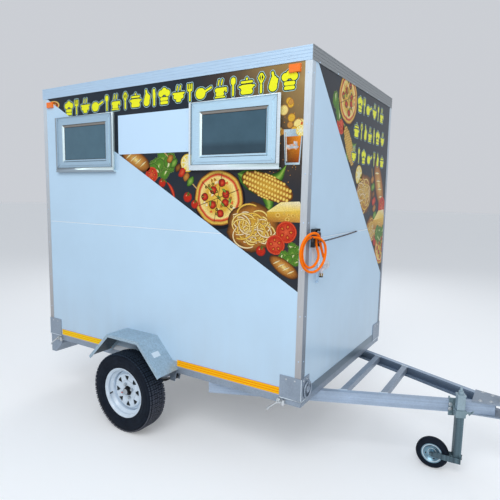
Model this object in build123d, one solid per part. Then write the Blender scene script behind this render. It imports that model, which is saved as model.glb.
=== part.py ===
from build123d import *
import math
import os

# Mobile kitchen box trailer with one axle, an A-shaped drawbar and a jockey wheel.
# Millimetres. X points forwards to the coupler, Y to the left, Z up from the ground.
# Pieces are drawn about the middle of the cabin's length, and shifted at the end so that
# the origin is on the ground under the middle of the trailer's overall length.
# UP in a name is a height above the floor's underside, and AHEAD a distance in front of
# the cabin's front face.

# Cabin
BODY_LENGTH = 2400.0
BODY_WIDTH = 1600.0
BODY_HEIGHT = 2045.0
FLOOR_ABOVE_AXLE = 210.0
PANEL = 40.0
FLOOR_SHEET = 2.0
FLOOR_SHEET_GAP = 1.0
SEAM_UP = 974.0
SEAM_WIDTH = 4.0
SEAM_DEPTH = 1.5

# Aluminium trims
TRIM = 2.0
ROOF_TRIM = 3.0
ROOF_TRIM_HEIGHT = 80.0
ROOF_TRIM_LIP = 42.0
ROOF_RIBS = 5
ROOF_RIB_HEIGHT = 7.0
ROOF_RIB_PROUD = 1.5
CORNER_LEG = 42.0
BASE_TRIM_HEIGHT = 54.0
GUARD_TRIM_GAP = 2.0

# Chassis
RAIL_HEIGHT = 45.0
RAIL_WIDTH = 50.0
TUBE_WALL = 3.0
CROSS_FROM_AXLE = (-534.0, 536.0)

# Drawbar
ARM_TUCK = 684.0
DRAWBAR_LENGTH = 990.0
ARM_TIP_Y = 48.0
ARM_HEIGHT = 75.0
ARM_FLANGE = 40.0
ARM_WALL = 4.0
ARM_LIP = 13.0
ARM_GROOVES = 3
ARM_GROOVE_DEPTH = 1.0
ARM_GROOVE_WIDTH = 3.0
STRUT_AHEAD = (100.0, 337.0)
STRUT_WIDTH = 40.0
STRUT_HEIGHT = 40.0
HITCH_PLATE = 8.0
HITCH_PLATE_LENGTH = 290.0
HITCH_PLATE_OVERHANG = 160.0
HITCH_PLATE_NOSE = 45.0
CHAIN_HOLE_INSET = 22.0
CHAIN_HOLE_Y = 28.0
CHAIN_HOLE_RADIUS = 7.0

# Coupler for a 50 mm ball
BALL_RADIUS = 25.0
SOCKET_PLAY = 0.4
BALL_FROM_PLATE = 120.0
BALL_ABOVE_PLATE = 8.0
COUPLER_SEAT = 140.0
COUPLER_WIDTH = 80.0
COUPLER_HEIGHT = 46.0
COUPLER_WALL = 4.0
COUPLER_NECK = 56.0
COUPLER_TAPER = 60.0
DOME_WALL = 8.0
DOME_SKIRT = 12.0
LEVER_WIDTH = 24.0

# Axle and springs
AXLE_X = -106.0
AXLE_TUBE = 50.0
AXLE_END_INSET = 20.0
SPINDLE_RADIUS = 18.0
SPINDLE_INSET = 30.0
RUNNING_GAP = 0.3
SPRING_RISE = 66.0
SPRING_WIDTH = 45.0
LEAF = 7.0
LEAF_HALF_LENGTHS = (300.0, 235.0, 165.0, 95.0)
EYE_RADIUS = 16.0
EYE_BOLT_RADIUS = 6.0
EYE_BOLT_END = 16.0
HANGER_PLATE = 6.0
HANGER_TOP_HALF = 34.0
HANGER_FOOT_HALF = 20.0
CLAMP_BOLT_RADIUS = 5.0
CLAMP_TOP_GAP = 1.5
CLAMP_PLATE_MARGIN = 18.0

# Wheels
WHEEL_RADIUS = 290.0
TYRE_WIDTH = 157.0
TYRE_SHOULDER = 22.0
TYRE_TREAD_EDGE = 28.0
BEAD_INSET = 11.0
TYRE_SEAT_RADIUS = 167.0
RIM_FLANGE_RADIUS = 182.5
RIM_WELL_RADIUS = 150.0
RIM_WIDTH = 128.0
RIM_SHEET = 4.0
RIM_OUTSET = 200.0
DISC_RECESS = 52.0
HUB_BORE = 35.0
HUB_BARREL = 36.0
HUB_FLANGE_RADIUS = 66.0
HUB_FLANGE = 12.0
HUB_OUTSET = 80.0
CAP_RADIUS = 25.0
CAP_LENGTH = 30.0
NUT_CIRCLE = 50.0
NUT_COUNT = 4
NUT_TURN = -21.0
NUT_RADIUS = 11.0
NUT_HEIGHT = 16.0
STUD_RADIUS = 6.0
VENT_COUNT = 8
VENT_TURN = 3.0
VENT_RADIUS = 99.0
VENT_SIZE = 28.0
VENT_ROUND = 6.0

# Mudguards: bent sheet. Columns: forward of the axle, above the axle
GUARD_SHEET = 2.5
GUARD_WIDTH = 200.0
GUARD_LIP = 22.0
GUARD_OUTLINE = ((-358.0, 203.0), (-157.0, 409.0), (152.0, 408.0), (351.0, 194.0))

# Jockey wheel
JOCKEY_AHEAD = 805.0
JOCKEY_STANDOFF = 60.0
JOCKEY_TUBE = 45.0
JOCKEY_TUBE_ABOVE_ARM = 65.0
JOCKEY_CROWN_ABOVE_AXLE = 21.0
JOCKEY_SLIDE_GAP = 0.5
JOCKEY_SLEEVE_WALL = 6.0
JOCKEY_SLEEVE_HEIGHT = 46.0
JOCKEY_SLEEVE_ABOVE_ARM_FOOT = 4.0
JOCKEY_TRAIL = 140.0
JOCKEY_WHEEL_RADIUS = 100.0
JOCKEY_TYRE_WIDTH = 46.0
JOCKEY_RIM_RADIUS = 64.0
JOCKEY_DISC_RADIUS = 38.0
JOCKEY_FORK_PLATE = 6.0
JOCKEY_FORK_GAP = 4.0
JOCKEY_PIN_RADIUS = 6.0
KINGPIN_RADIUS = 10.0
KINGPIN_LENGTH = 18.0
U_BOLT_RADIUS = 5.0
U_BOLT_HALF_SPACING = 36.0
BACK_PLATE = 6.0

# Windows in the right wall
WINDOW_WIDTH = 638.0
WINDOW_HEIGHT = 418.0
WINDOW_UP = 1385.0
WINDOW_CENTRES_X = (689.0, -687.0)
WINDOW_FLANGE = 20.0
WINDOW_BORDER = 38.0
WINDOW_SILL = (7.0, 10.0, 16.0)
SASH_BORDER = 32.0
SASH_LIFT = 4.0
SASH_DEPTH = 24.0
SASH_PROUD = 4.0
SASH_BEVEL = 10.0
GLASS = 5.0
GLASS_INSET = 6.0

# Serving hatch in the left wall
HATCH_WIDTH = 1500.0
HATCH_HEIGHT = 900.0
HATCH_UP = 800.0
HATCH_OVERLAP = 25.0
LEAF_PANEL = 30.0
LEAF_GAP = 6.0
HATCH_HINGE_RISE = 16.0
HINGE_RADIUS = 7.0
KNUCKLE_GAP = 0.5
KNUCKLE_LENGTH = 60.0
KNUCKLE_X = (-520.0, 0.0, 520.0)
HINGE_PLATE = 4.0
HINGE_PLATE_RISE = 34.0
LATCH_X = 560.0
LATCH_RISE = 70.0

# Gas struts of the hatch
STRUT_FOOT_BELOW_HINGE = 580.0
STRUT_PIN_BELOW_HINGE = 120.0
STRUT_FOOT_INSET = 25.0
STRUT_PIN_INSET = 35.0
STRUT_TUBE_RADIUS = 11.0
STRUT_ROD_RADIUS = 5.0
STRUT_TUBE_LENGTH = 370.0
STRUT_INSET = 18.0
STRUT_PIN_RADIUS = 4.0
EYE_END_RADIUS = 9.0
EYE_END_HALF = 6.0
STRUT_LUG = (8.0, 12.0)

# Door in the rear wall
DOOR_WIDTH = 700.0
DOOR_SILL = 20.0
DOOR_HEIGHT = 1840.0
DOOR_OVERLAP = 25.0
DOOR_HINGE_UP = (260.0, 980.0, 1700.0)
DOOR_HINGE_LENGTH = 90.0
DOOR_HINGE_SIDE = 14.0
DOOR_HINGE_REACH = 160.0
DOOR_KNUCKLE = 40.0
DOOR_HANDLE_UP = 940.0

# Rear lamps on a folded sheet beam
LIGHT_BAR_LENGTH = 138.0
LIGHT_BAR_DROP = 121.0
LIGHT_BAR_FRONT_DROP = 32.0
LIGHT_BAR_FOOT = 54.0
LAMP_Y = (530.0, 690.0)
LAMP_DEPTH = 28.0
LAMP_DROP = (20.0, 100.0)
LAMP_ROUND = 8.0
NUMBER_PLATE = (520.0, 110.0, 3.0)

# Sign and side markers. Columns of the markers: from the nearer end, up
SIGN_X = (-325.0, 335.0)
SIGN_UP = (1498.0, 1775.0)
SIGN_SHEET = 3.0
REAR_MARKER = (93.0, 1914.0)
FRONT_MARKER = (104.0, 1931.0)
MARKER_SIZE = (70.0, 14.0, 42.0)

# Corner plates, with the front legs' reach on the right and on the left
PLATE_THICKNESS = 5.0
PLATE_SIDE = 142.0
PLATE_FRONT_RIGHT = 110.0
PLATE_FRONT_LEFT = 178.0
PLATE_UP = (-10.0, 135.0)
LEG_CLAMP_INSETS = (118.0, 140.0)
LEG_CLAMP_HANDLE = 5.0
LEG_CLAMP_BOSS = (12.0, 14.0)
LEG_CLAMP_SCREW = 40.0
LEG_CLAMP_ARM = (46.0, 12.0, 38.0)
LEG_CLAMP_GRIP = (15.0, 20.0)
RING_RADIUS = 48.0
RING_BAR = 5.5
RING_FROM_SIDE = 78.0
RING_UP = 48.0

# Worktop under the hatch
WORKTOP_DEPTH = 500.0
WORKTOP_END_GAP = 60.0
WORKTOP_THICKNESS = 30.0
WORKTOP_BELOW_SILL = 10.0
BRACKET_COUNT = 4
BRACKET_SHEET = 8.0
BRACKET_DROP = 320.0
BRACKET_STEM = 30.0
BRACKET_TIP_GAP = 60.0
BRACKET_END_INSET = 240.0

# Gas gear on the front wall. Places are ahead of it, in from the right side, and up
TRAY_Y = (62.0, 140.0)
TRAY_UP = (925.0, 1033.0)
TRAY_DEPTH = 26.0
TRAY_SHEET = 3.0
PEG_RADIUS = 5.0
PEG_DROP = 4.0
PEG_START = (6.0, 64.0)
PEG_TIP = (50.0, -26.0)
PEG_HOOK = 24.0
PIPE_RADIUS = 6.0
PIPE_AHEAD = 16.0
PIPE_FROM_SIDE = 160.0
PIPE_UP = (705.0, 1010.0)
PIPE_BENDS = (10.0, 16.0, 16.0)
PIPE_CLIP_UP = (820.0, 836.0)
PIPE_CLIP_HALF = 9.0
OUTLET_RADIUS = 9.0

# Gas hose hung in two loose turns. Columns of its places: across the coil, up, out from the wall
HOSE_RADIUS = 7.5
COIL_PLACE = (35.0, 20.0, 900.0)
COIL_YAW = 17.0
COIL_RADIUS = 119.0
COIL_HOLE_RADIUS = 78.0
COIL_HOLE_SHIFT = -10.0
COIL_THICKNESS = 30.0
OUTLET_PLACE = (60.0, 78.0, -30.0)
INLET_PLACES = ((60.0, 46.0, -30.0), (66.0, 12.0, -16.0), (78.0, -16.0, -6.0))
TAIL_PLACES = ((60.0, 88.0, -6.0), (88.0, 46.0, -20.0), (112.0, 0.0, -26.0), (140.0, -52.0, -30.0))
REGULATOR_RADIUS = 29.0
REGULATOR_THICKNESS = 24.0
REGULATOR_PLACE = (159.0, -86.0, -34.0)
ELBOW_PLACE = (122.0, -125.0, -34.0)
ELBOW_RADIUS = 9.0
BOTTLE_NUT_RADIUS = 14.0

# Worked out
HALF_LENGTH = BODY_LENGTH / 2
HALF_WIDTH = BODY_WIDTH / 2
FLOOR_Z = WHEEL_RADIUS + FLOOR_ABOVE_AXLE
ROOF_TOP_Z = FLOOR_Z + BODY_HEIGHT
ROOF_PANEL_TOP = ROOF_TOP_Z - ROOF_TRIM
WALL_LOW = FLOOR_Z + PANEL
WALL_HIGH = ROOF_PANEL_TOP - PANEL
ROOF_TRIM_LOW = ROOF_TOP_Z - ROOF_TRIM_HEIGHT
RAIL_LOW = FLOOR_Z - RAIL_HEIGHT
ARM_TOP = RAIL_LOW
ARM_LOW = ARM_TOP - ARM_HEIGHT
ARM_REAR_X = HALF_LENGTH - ARM_TUCK
ARM_END_X = HALF_LENGTH + DRAWBAR_LENGTH
ARM_SLOPE = (HALF_WIDTH - ARM_TIP_Y) / (ARM_END_X - ARM_REAR_X)
ARM_ANGLE = math.degrees(math.atan(ARM_SLOPE))
PLATE_FRONT_X = ARM_END_X + HITCH_PLATE_OVERHANG
PLATE_REAR_X = PLATE_FRONT_X - HITCH_PLATE_LENGTH
PLATE_TOP_Z = ARM_TOP + HITCH_PLATE
BALL_X = PLATE_FRONT_X + BALL_FROM_PLATE
BALL_Z = PLATE_TOP_Z + BALL_ABOVE_PLATE
COUPLER_TOP_Z = PLATE_TOP_Z + COUPLER_HEIGHT
SPRING_HALF_SPAN = LEAF_HALF_LENGTHS[0]
SPRING_PACK = len(LEAF_HALF_LENGTHS) * LEAF
SPRING_EYE_Z = WHEEL_RADIUS + AXLE_TUBE / 2 + SPRING_PACK + SPRING_RISE
SPRING_Y = HALF_WIDTH - RAIL_WIDTH / 2
RIM_OUTER_Y = HALF_WIDTH + RIM_OUTSET
HUB_INNER_Y = HALF_WIDTH + HUB_OUTSET
RIM_MID_Y = RIM_OUTER_Y - RIM_WIDTH / 2
RIM_INNER_Y = RIM_OUTER_Y - RIM_WIDTH
DISC_Y = RIM_OUTER_Y - DISC_RECESS
JOCKEY_X = HALF_LENGTH + JOCKEY_AHEAD
JOCKEY_TUBE_TOP = ARM_TOP + JOCKEY_TUBE_ABOVE_ARM
JOCKEY_TUBE_BOTTOM = JOCKEY_WHEEL_RADIUS + JOCKEY_CROWN_ABOVE_AXLE
JOCKEY_SLEEVE = JOCKEY_TUBE + 2 * (JOCKEY_SLIDE_GAP + JOCKEY_SLEEVE_WALL)
JOCKEY_SLEEVE_LOW = ARM_LOW + JOCKEY_SLEEVE_ABOVE_ARM_FOOT
HATCH_SILL_Z = FLOOR_Z + HATCH_UP
HATCH_TOP_Z = HATCH_SILL_Z + HATCH_HEIGHT
HATCH_AXIS_Y = HALF_WIDTH + LEAF_GAP + LEAF_PANEL / 2
HATCH_AXIS_Z = HATCH_TOP_Z + HATCH_OVERLAP + HATCH_HINGE_RISE
STRUT_X = HATCH_WIDTH / 2 - STRUT_INSET
STRUT_FOOT = (HALF_WIDTH - STRUT_FOOT_INSET, HATCH_AXIS_Z - STRUT_FOOT_BELOW_HINGE)
STRUT_PIN = (HALF_WIDTH - STRUT_PIN_INSET, HATCH_AXIS_Z - STRUT_PIN_BELOW_HINGE)
STRUT_RUN = math.hypot(STRUT_PIN[0] - STRUT_FOOT[0], STRUT_PIN[1] - STRUT_FOOT[1])
STRUT_WAY = [(pin - foot) / STRUT_RUN for pin, foot in zip(STRUT_PIN, STRUT_FOOT)]
DOOR_LOW_Z = WALL_LOW + DOOR_SILL
DOOR_OUTER_X = -HALF_LENGTH - LEAF_GAP - LEAF_PANEL
DOOR_AXIS_X = DOOR_OUTER_X - HINGE_PLATE / 2
DOOR_AXIS_Y = DOOR_WIDTH / 2 + DOOR_OVERLAP + DOOR_HINGE_SIDE
WORKTOP_TOP_Z = HATCH_SILL_Z - WORKTOP_BELOW_SILL
COIL_CENTRE = (HALF_LENGTH + COIL_PLACE[0], COIL_PLACE[1] - HALF_WIDTH, FLOOR_Z + COIL_PLACE[2])


def slab(x, y, z):
    """A box from its low and high X, Y and Z."""
    size = [high - low for low, high in (x, y, z)]
    middle = [(low + high) / 2 for low, high in (x, y, z)]
    return Pos(*middle) * Box(*size)


def rod(start, end, radius):
    """A round bar between two points."""
    run = Vector(*end) - Vector(*start)
    plane = Plane(origin=start, z_dir=run)
    return plane * Cylinder(radius, run.length, align=(Align.CENTER, Align.CENTER, Align.MIN))


def prism_x(outline, x_low, x_high):
    """An outline in Y and Z, drawn out along X."""
    plane = Plane(origin=(x_low, 0, 0), x_dir=(0, 1, 0), z_dir=(1, 0, 0))
    return extrude(plane * make_face(Polyline(*outline, close=True)), amount=x_high - x_low)


def prism_y(outline, y_low, y_high):
    """An outline in X and Z, drawn out along Y."""
    plane = Plane(origin=(0, y_high, 0), x_dir=(1, 0, 0), z_dir=(0, -1, 0))
    return extrude(plane * make_face(Polyline(*outline, close=True)), amount=y_high - y_low)


def prism_z(outline, z_low, z_high):
    """An outline in X and Y, drawn out along Z."""
    plane = Plane.XY.offset(z_low)
    return extrude(plane * make_face(Polyline(*outline, close=True)), amount=z_high - z_low)


def mirrored(shape):
    """The same piece on the other side of the trailer."""
    return mirror(shape, about=Plane.XZ)


def pair(shape):
    """A piece on the right side and its copy on the left side."""
    return [shape, mirrored(shape)]


def around(grow, z):
    """A block as large as the cabin in plan, grown outwards."""
    x = (-HALF_LENGTH - grow, HALF_LENGTH + grow)
    return slab(x, (-HALF_WIDTH - grow, HALF_WIDTH + grow), z)


def sheet_outline(points, thickness):
    """The outline of a bent sheet whose outer bends are at the points."""
    inner = []
    for index, point in enumerate(points):
        before = points[max(index - 1, 0)]
        after = points[min(index + 1, len(points) - 1)]
        normals = []
        for start, end in ((before, point), (point, after)):
            run = math.hypot(end[0] - start[0], end[1] - start[1])
            if run > 0:
                normals.append(((end[1] - start[1]) / run, -(end[0] - start[0]) / run))
        along = sum(n[0] for n in normals) / len(normals)
        up = sum(n[1] for n in normals) / len(normals)
        scale = thickness / (along * along + up * up)
        inner.append((point[0] + along * scale, point[1] + up * scale))
    return list(points) + inner[::-1]


def revolve_y(outline, x, y, z, side=1):
    """A profile of radius against Y, turned about an axle along Y."""
    plane = Plane(origin=(x, y, z), x_dir=(1, 0, 0), z_dir=(0, 0, 1))
    points = [(radius, side * across) for radius, across in outline]
    face = plane * make_face(Polyline(*points, close=True))
    return revolve(face, axis=Axis((x, y, z), (0, 1, 0)))


def side_rails():
    """Box tubes under the long edges of the floor."""
    y = (-HALF_WIDTH, -HALF_WIDTH + RAIL_WIDTH)
    outer = slab((-HALF_LENGTH, HALF_LENGTH), y, (RAIL_LOW, FLOOR_Z))
    hole_y = (y[0] + TUBE_WALL, y[1] - TUBE_WALL)
    hole = slab((-HALF_LENGTH, HALF_LENGTH), hole_y, (RAIL_LOW + TUBE_WALL, FLOOR_Z - TUBE_WALL))
    return pair(outer - hole)


def cross_member_places():
    end = HALF_LENGTH - RAIL_WIDTH / 2
    return [-end] + [AXLE_X + along for along in CROSS_FROM_AXLE] + [end]


def cross_members():
    """Box tubes between the side rails."""
    members = []
    half = HALF_WIDTH - RAIL_WIDTH
    for x in cross_member_places():
        low = x - RAIL_WIDTH / 2
        high = x + RAIL_WIDTH / 2
        outer = slab((low, high), (-half, half), (RAIL_LOW, FLOOR_Z))
        hole_x = (low + TUBE_WALL, high - TUBE_WALL)
        hole_z = (RAIL_LOW + TUBE_WALL, FLOOR_Z - TUBE_WALL)
        members.append(outer - slab(hole_x, (-half, half), hole_z))
    return members


def arm_outer_y(x):
    """How far from the middle the drawbar arm's outer face is."""
    return HALF_WIDTH - ARM_SLOPE * (x - ARM_REAR_X)


def arm_inner_y(x):
    """How far from the middle the drawbar arm's inner flange edges are."""
    return arm_outer_y(x) - ARM_FLANGE / math.cos(math.radians(ARM_ANGLE))


def arm_frame(x, z):
    """Axes on the right arm's outer face: X along the arm, Y into the drawbar, Z up."""
    angle = math.radians(ARM_ANGLE)
    along = (math.cos(angle), math.sin(angle), 0)
    return Plane(origin=(x, -arm_outer_y(x), z), x_dir=along, z_dir=(0, 0, 1))


def drawbar_arms():
    """Lipped channels that open towards each other, cut square to the trailer at both ends."""
    length = (ARM_END_X - ARM_REAR_X) / math.cos(math.radians(ARM_ANGLE)) + ARM_FLANGE
    span = (-ARM_FLANGE, length)
    arm = slab(span, (0, ARM_FLANGE), (0, ARM_HEIGHT))
    inner = (ARM_WALL, ARM_HEIGHT - ARM_WALL)
    arm -= slab(span, (ARM_WALL, ARM_FLANGE - ARM_WALL), inner)
    arm -= slab(span, (ARM_FLANGE - ARM_WALL, ARM_FLANGE), (ARM_LIP, ARM_HEIGHT - ARM_LIP))
    step = ARM_HEIGHT / (ARM_GROOVES + 1)
    for index in range(ARM_GROOVES):
        middle = step * (index + 1)
        groove = (middle - ARM_GROOVE_WIDTH / 2, middle + ARM_GROOVE_WIDTH / 2)
        arm -= slab(span, (0, ARM_GROOVE_DEPTH), groove)
    arm = arm_frame(ARM_REAR_X, ARM_LOW) * arm
    keep = slab((ARM_REAR_X, ARM_END_X), (-HALF_WIDTH, 0), (ARM_LOW, ARM_TOP))
    return pair(arm & keep)


def drawbar_struts():
    """Box tubes between the arms, their ends cut to the arms' slant."""
    struts = []
    for ahead in STRUT_AHEAD:
        low = HALF_LENGTH + ahead
        high = low + STRUT_WIDTH
        rear = arm_inner_y(low)
        front = arm_inner_y(high)
        outline = ((low, -rear), (high, -front), (high, front), (low, rear))
        strut = prism_z(outline, ARM_TOP - STRUT_HEIGHT, ARM_TOP)
        hole_x = (low + TUBE_WALL, high - TUBE_WALL)
        hole_z = (ARM_TOP - STRUT_HEIGHT + TUBE_WALL, ARM_TOP - TUBE_WALL)
        struts.append(strut - slab(hole_x, (-rear, rear), hole_z))
    return struts


def hitch_plates():
    """Gussets over and under the front ends of the arms, the lower one with chain holes."""
    rear = arm_outer_y(PLATE_REAR_X)
    outline = (
        (PLATE_REAR_X, -rear),
        (PLATE_FRONT_X, -HITCH_PLATE_NOSE),
        (PLATE_FRONT_X, HITCH_PLATE_NOSE),
        (PLATE_REAR_X, rear),
    )
    top = prism_z(outline, ARM_TOP, PLATE_TOP_Z)
    low = prism_z(outline, ARM_LOW - HITCH_PLATE, ARM_LOW)
    x = PLATE_REAR_X + CHAIN_HOLE_INSET
    for y in (-CHAIN_HOLE_Y, CHAIN_HOLE_Y):
        low -= rod((x, y, ARM_LOW - 2 * HITCH_PLATE), (x, y, ARM_LOW + HITCH_PLATE), CHAIN_HOLE_RADIUS)
    return [top, low]


def coupler_body():
    """Pressed steel channel that narrows to a dome over the ball."""
    half = COUPLER_WIDTH / 2
    neck = COUPLER_NECK / 2
    rear_x = PLATE_FRONT_X - COUPLER_SEAT
    neck_x = PLATE_FRONT_X + COUPLER_TAPER
    outline = (
        (rear_x, -half),
        (PLATE_FRONT_X, -half),
        (neck_x, -neck),
        (BALL_X, -neck),
        (BALL_X, neck),
        (neck_x, neck),
        (PLATE_FRONT_X, half),
        (rear_x, half),
    )
    inner = [(x, y - math.copysign(COUPLER_WALL, y)) for x, y in outline]
    inner[0] = (rear_x - 1, inner[0][1])
    inner[-1] = (rear_x - 1, inner[-1][1])
    socket = BALL_RADIUS + SOCKET_PLAY
    dome = socket + DOME_WALL
    body = prism_z(outline, PLATE_TOP_Z, COUPLER_TOP_Z)
    body -= prism_z(inner, PLATE_TOP_Z - 1, COUPLER_TOP_Z - COUPLER_WALL)
    ball = (BALL_X, 0, BALL_Z)
    skirt_z = BALL_Z - DOME_SKIRT
    body += rod((BALL_X, 0, skirt_z), ball, dome) + Pos(*ball) * Sphere(dome)
    span = (-2 * BALL_RADIUS, 2 * BALL_RADIUS)
    body -= Pos(BALL_X, 0, 0) * slab(span, span, (skirt_z - 2 * BALL_RADIUS, skirt_z))
    body -= Pos(*ball) * Sphere(socket)
    body -= rod((BALL_X, 0, skirt_z - 1), ball, socket)
    return [body]


def coupler_lever():
    """Hand lever that lies along the top of the coupler. Columns: behind the ball, over the coupler."""
    outline = (
        (62, 0),
        (34, 0),
        (50, 22),
        (150, 48),
        (186, 44),
        (186, 36),
        (150, 38),
        (78, 18),
    )
    places = [(BALL_X - behind, COUPLER_TOP_Z + over) for behind, over in outline]
    return [prism_y(places, -LEVER_WIDTH / 2, LEVER_WIDTH / 2)]


def jockey_foot_x():
    """Where on the arm's outer face the jockey tube stands off square to it."""
    return JOCKEY_X - JOCKEY_STANDOFF * math.sin(math.radians(ARM_ANGLE))


def jockey_frame(z):
    """Axes at the jockey clamp: X along the arm, Y into the drawbar."""
    return arm_frame(jockey_foot_x(), z)


def jockey_y():
    return -arm_outer_y(jockey_foot_x()) - JOCKEY_STANDOFF * math.cos(math.radians(ARM_ANGLE))


def square_bar(size, z):
    return slab((-size / 2, size / 2), (-size / 2, size / 2), z)


def u_bolts():
    """Two U-bolts round the arm with their nuts on the back plate, in the clamp's own axes."""
    bolts = []
    rear = ARM_FLANGE + U_BOLT_RADIUS + RUNNING_GAP
    low = ARM_LOW - U_BOLT_RADIUS - RUNNING_GAP
    high = ARM_TOP + U_BOLT_RADIUS + RUNNING_GAP
    nut_y = -BACK_PLATE
    for x in (-U_BOLT_HALF_SPACING, U_BOLT_HALF_SPACING):
        bolt = rod((x, rear, low - U_BOLT_RADIUS), (x, rear, high + U_BOLT_RADIUS), U_BOLT_RADIUS)
        for z in (low, high):
            bolt += rod((x, nut_y - 14, z), (x, rear, z), U_BOLT_RADIUS)
            nut = Plane(origin=(x, nut_y, z), x_dir=(1, 0, 0), z_dir=(0, -1, 0))
            bolt += nut * extrude(RegularPolygon(2 * U_BOLT_RADIUS, 6), amount=8)
        bolts.append(bolt)
    return bolts


def jockey_clamp():
    """Sleeve on a back plate that two U-bolts hold to the arm, and its clamp screw."""
    low = JOCKEY_SLEEVE_LOW
    high = low + JOCKEY_SLEEVE_HEIGHT
    centre = -JOCKEY_STANDOFF
    half = JOCKEY_SLEEVE / 2
    plate_x = U_BOLT_HALF_SPACING + 14
    plate_z = (ARM_LOW - 20, ARM_TOP + 20)
    clamp = slab((-plate_x, plate_x), (-BACK_PLATE, 0), plate_z)
    sleeve = square_bar(JOCKEY_SLEEVE, (low, high))
    sleeve -= square_bar(JOCKEY_TUBE + 2 * JOCKEY_SLIDE_GAP, (low, high))
    clamp += Pos(0, centre, 0) * sleeve
    for z in (low, high - JOCKEY_SLEEVE_WALL):
        clamp += slab((-half, half), (centre + half - 1, -BACK_PLATE), (z, z + JOCKEY_SLEEVE_WALL))
    for bolt in u_bolts():
        clamp += bolt
    screw_z = (low + high) / 2
    head_x = half + 40
    clamp += rod((half - 2, centre, screw_z), (half + 12, centre, screw_z), 12)
    clamp += rod((half, centre, screw_z), (head_x + 6, centre, screw_z), 6)
    clamp += rod((head_x, centre - 32, screw_z + 26), (head_x, centre + 32, screw_z - 26), 5)
    return [jockey_frame(0) * clamp]


def jockey_tube():
    """Square tube with a capped top and a kingpin for the fork at its foot."""
    foot = JOCKEY_TUBE_BOTTOM
    top = JOCKEY_TUBE_TOP
    leg = square_bar(JOCKEY_TUBE, (foot, top))
    leg -= square_bar(JOCKEY_TUBE - 2 * TUBE_WALL, (foot + HITCH_PLATE, top))
    leg += square_bar(JOCKEY_TUBE + 2 * TUBE_WALL, (top, top + HITCH_PLATE))
    leg += rod((0, 0, top), (0, 0, top + 28), 15)
    leg += rod((0, 0, top), (0, 0, top + 52), 7)
    leg += rod((0, 0, foot - KINGPIN_LENGTH), (0, 0, foot), KINGPIN_RADIUS)
    return [jockey_frame(0) * Pos(0, -JOCKEY_STANDOFF, 0) * leg]


def jockey_fork():
    """Crown under the tube with two arms that trail to the wheel's axle."""
    y = jockey_y()
    inner = JOCKEY_TYRE_WIDTH / 2 + JOCKEY_FORK_GAP
    outer = inner + JOCKEY_FORK_PLATE
    top = JOCKEY_TUBE_BOTTOM - JOCKEY_SLIDE_GAP
    axle_x = JOCKEY_X - JOCKEY_TRAIL
    axle_z = JOCKEY_WHEEL_RADIUS
    boss = JOCKEY_PIN_RADIUS + 5
    fork = slab((JOCKEY_X - 26, JOCKEY_X + 32), (y - outer, y + outer), (top - 8, top))
    bore = KINGPIN_RADIUS + RUNNING_GAP
    fork -= rod((JOCKEY_X, y, top - KINGPIN_LENGTH), (JOCKEY_X, y, top + 5), bore)
    outline = (
        (JOCKEY_X + 32, top),
        (JOCKEY_X + 32, top - 34),
        (JOCKEY_X - 30, top - 38),
        (axle_x, axle_z - 15),
        (axle_x - 12, axle_z - 9),
        (axle_x - 12, axle_z + 9),
        (axle_x, axle_z + 15),
        (JOCKEY_X - 30, top),
    )
    for low in (y - outer, y + inner):
        fork += prism_y(outline, low, low + JOCKEY_FORK_PLATE)
    fork += rod((axle_x, y - outer - 5, axle_z), (axle_x, y + outer + 5, axle_z), JOCKEY_PIN_RADIUS)
    for low in (y - outer - 5, y + outer):
        fork += rod((axle_x, low, axle_z), (axle_x, low + 5, axle_z), boss)
    return [fork]


def jockey_rim():
    """Pressed disc with a boss on the pin and a flat rim under the tyre."""
    half = JOCKEY_TYRE_WIDTH / 2
    bore = JOCKEY_PIN_RADIUS + RUNNING_GAP
    boss = bore + 9
    edge = JOCKEY_RIM_RADIUS - 4
    outline = (
        (bore, -half - 2),
        (boss, -half - 2),
        (boss, -4),
        (JOCKEY_DISC_RADIUS, -4),
        (edge, -half + 2),
        (JOCKEY_RIM_RADIUS, -half + 2),
        (JOCKEY_RIM_RADIUS, half - 2),
        (edge, half - 2),
        (JOCKEY_DISC_RADIUS, 4),
        (boss, 4),
        (boss, half + 2),
        (bore, half + 2),
    )
    return [revolve_y(outline, JOCKEY_X - JOCKEY_TRAIL, jockey_y(), JOCKEY_WHEEL_RADIUS)]


def jockey_tyre():
    """Solid rubber tyre with rounded shoulders."""
    half = JOCKEY_TYRE_WIDTH / 2
    wall = JOCKEY_RIM_RADIUS + 8
    tread = JOCKEY_WHEEL_RADIUS
    outline = (
        (JOCKEY_RIM_RADIUS, -half + 3),
        (wall, -half),
        (tread - 10, -half),
        (tread - 2, -half + 8),
        (tread, -half + 15),
        (tread, half - 15),
        (tread - 2, half - 8),
        (tread - 10, half),
        (wall, half),
        (JOCKEY_RIM_RADIUS, half - 3),
    )
    return [revolve_y(outline, JOCKEY_X - JOCKEY_TRAIL, jockey_y(), JOCKEY_WHEEL_RADIUS)]


def axle_beam():
    """Square tube across the trailer with a round spindle at each end."""
    half = AXLE_TUBE / 2
    end = HUB_INNER_Y - AXLE_END_INSET
    z = (WHEEL_RADIUS - half, WHEEL_RADIUS + half)
    beam = slab((AXLE_X - half, AXLE_X + half), (-end, end), z)
    tip = DISC_Y - SPINDLE_INSET
    beam += rod((AXLE_X, -tip, WHEEL_RADIUS), (AXLE_X, tip, WHEEL_RADIUS), SPINDLE_RADIUS)
    return [beam]


def spring_eye_places():
    return (AXLE_X - SPRING_HALF_SPAN, AXLE_X + SPRING_HALF_SPAN)


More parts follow.
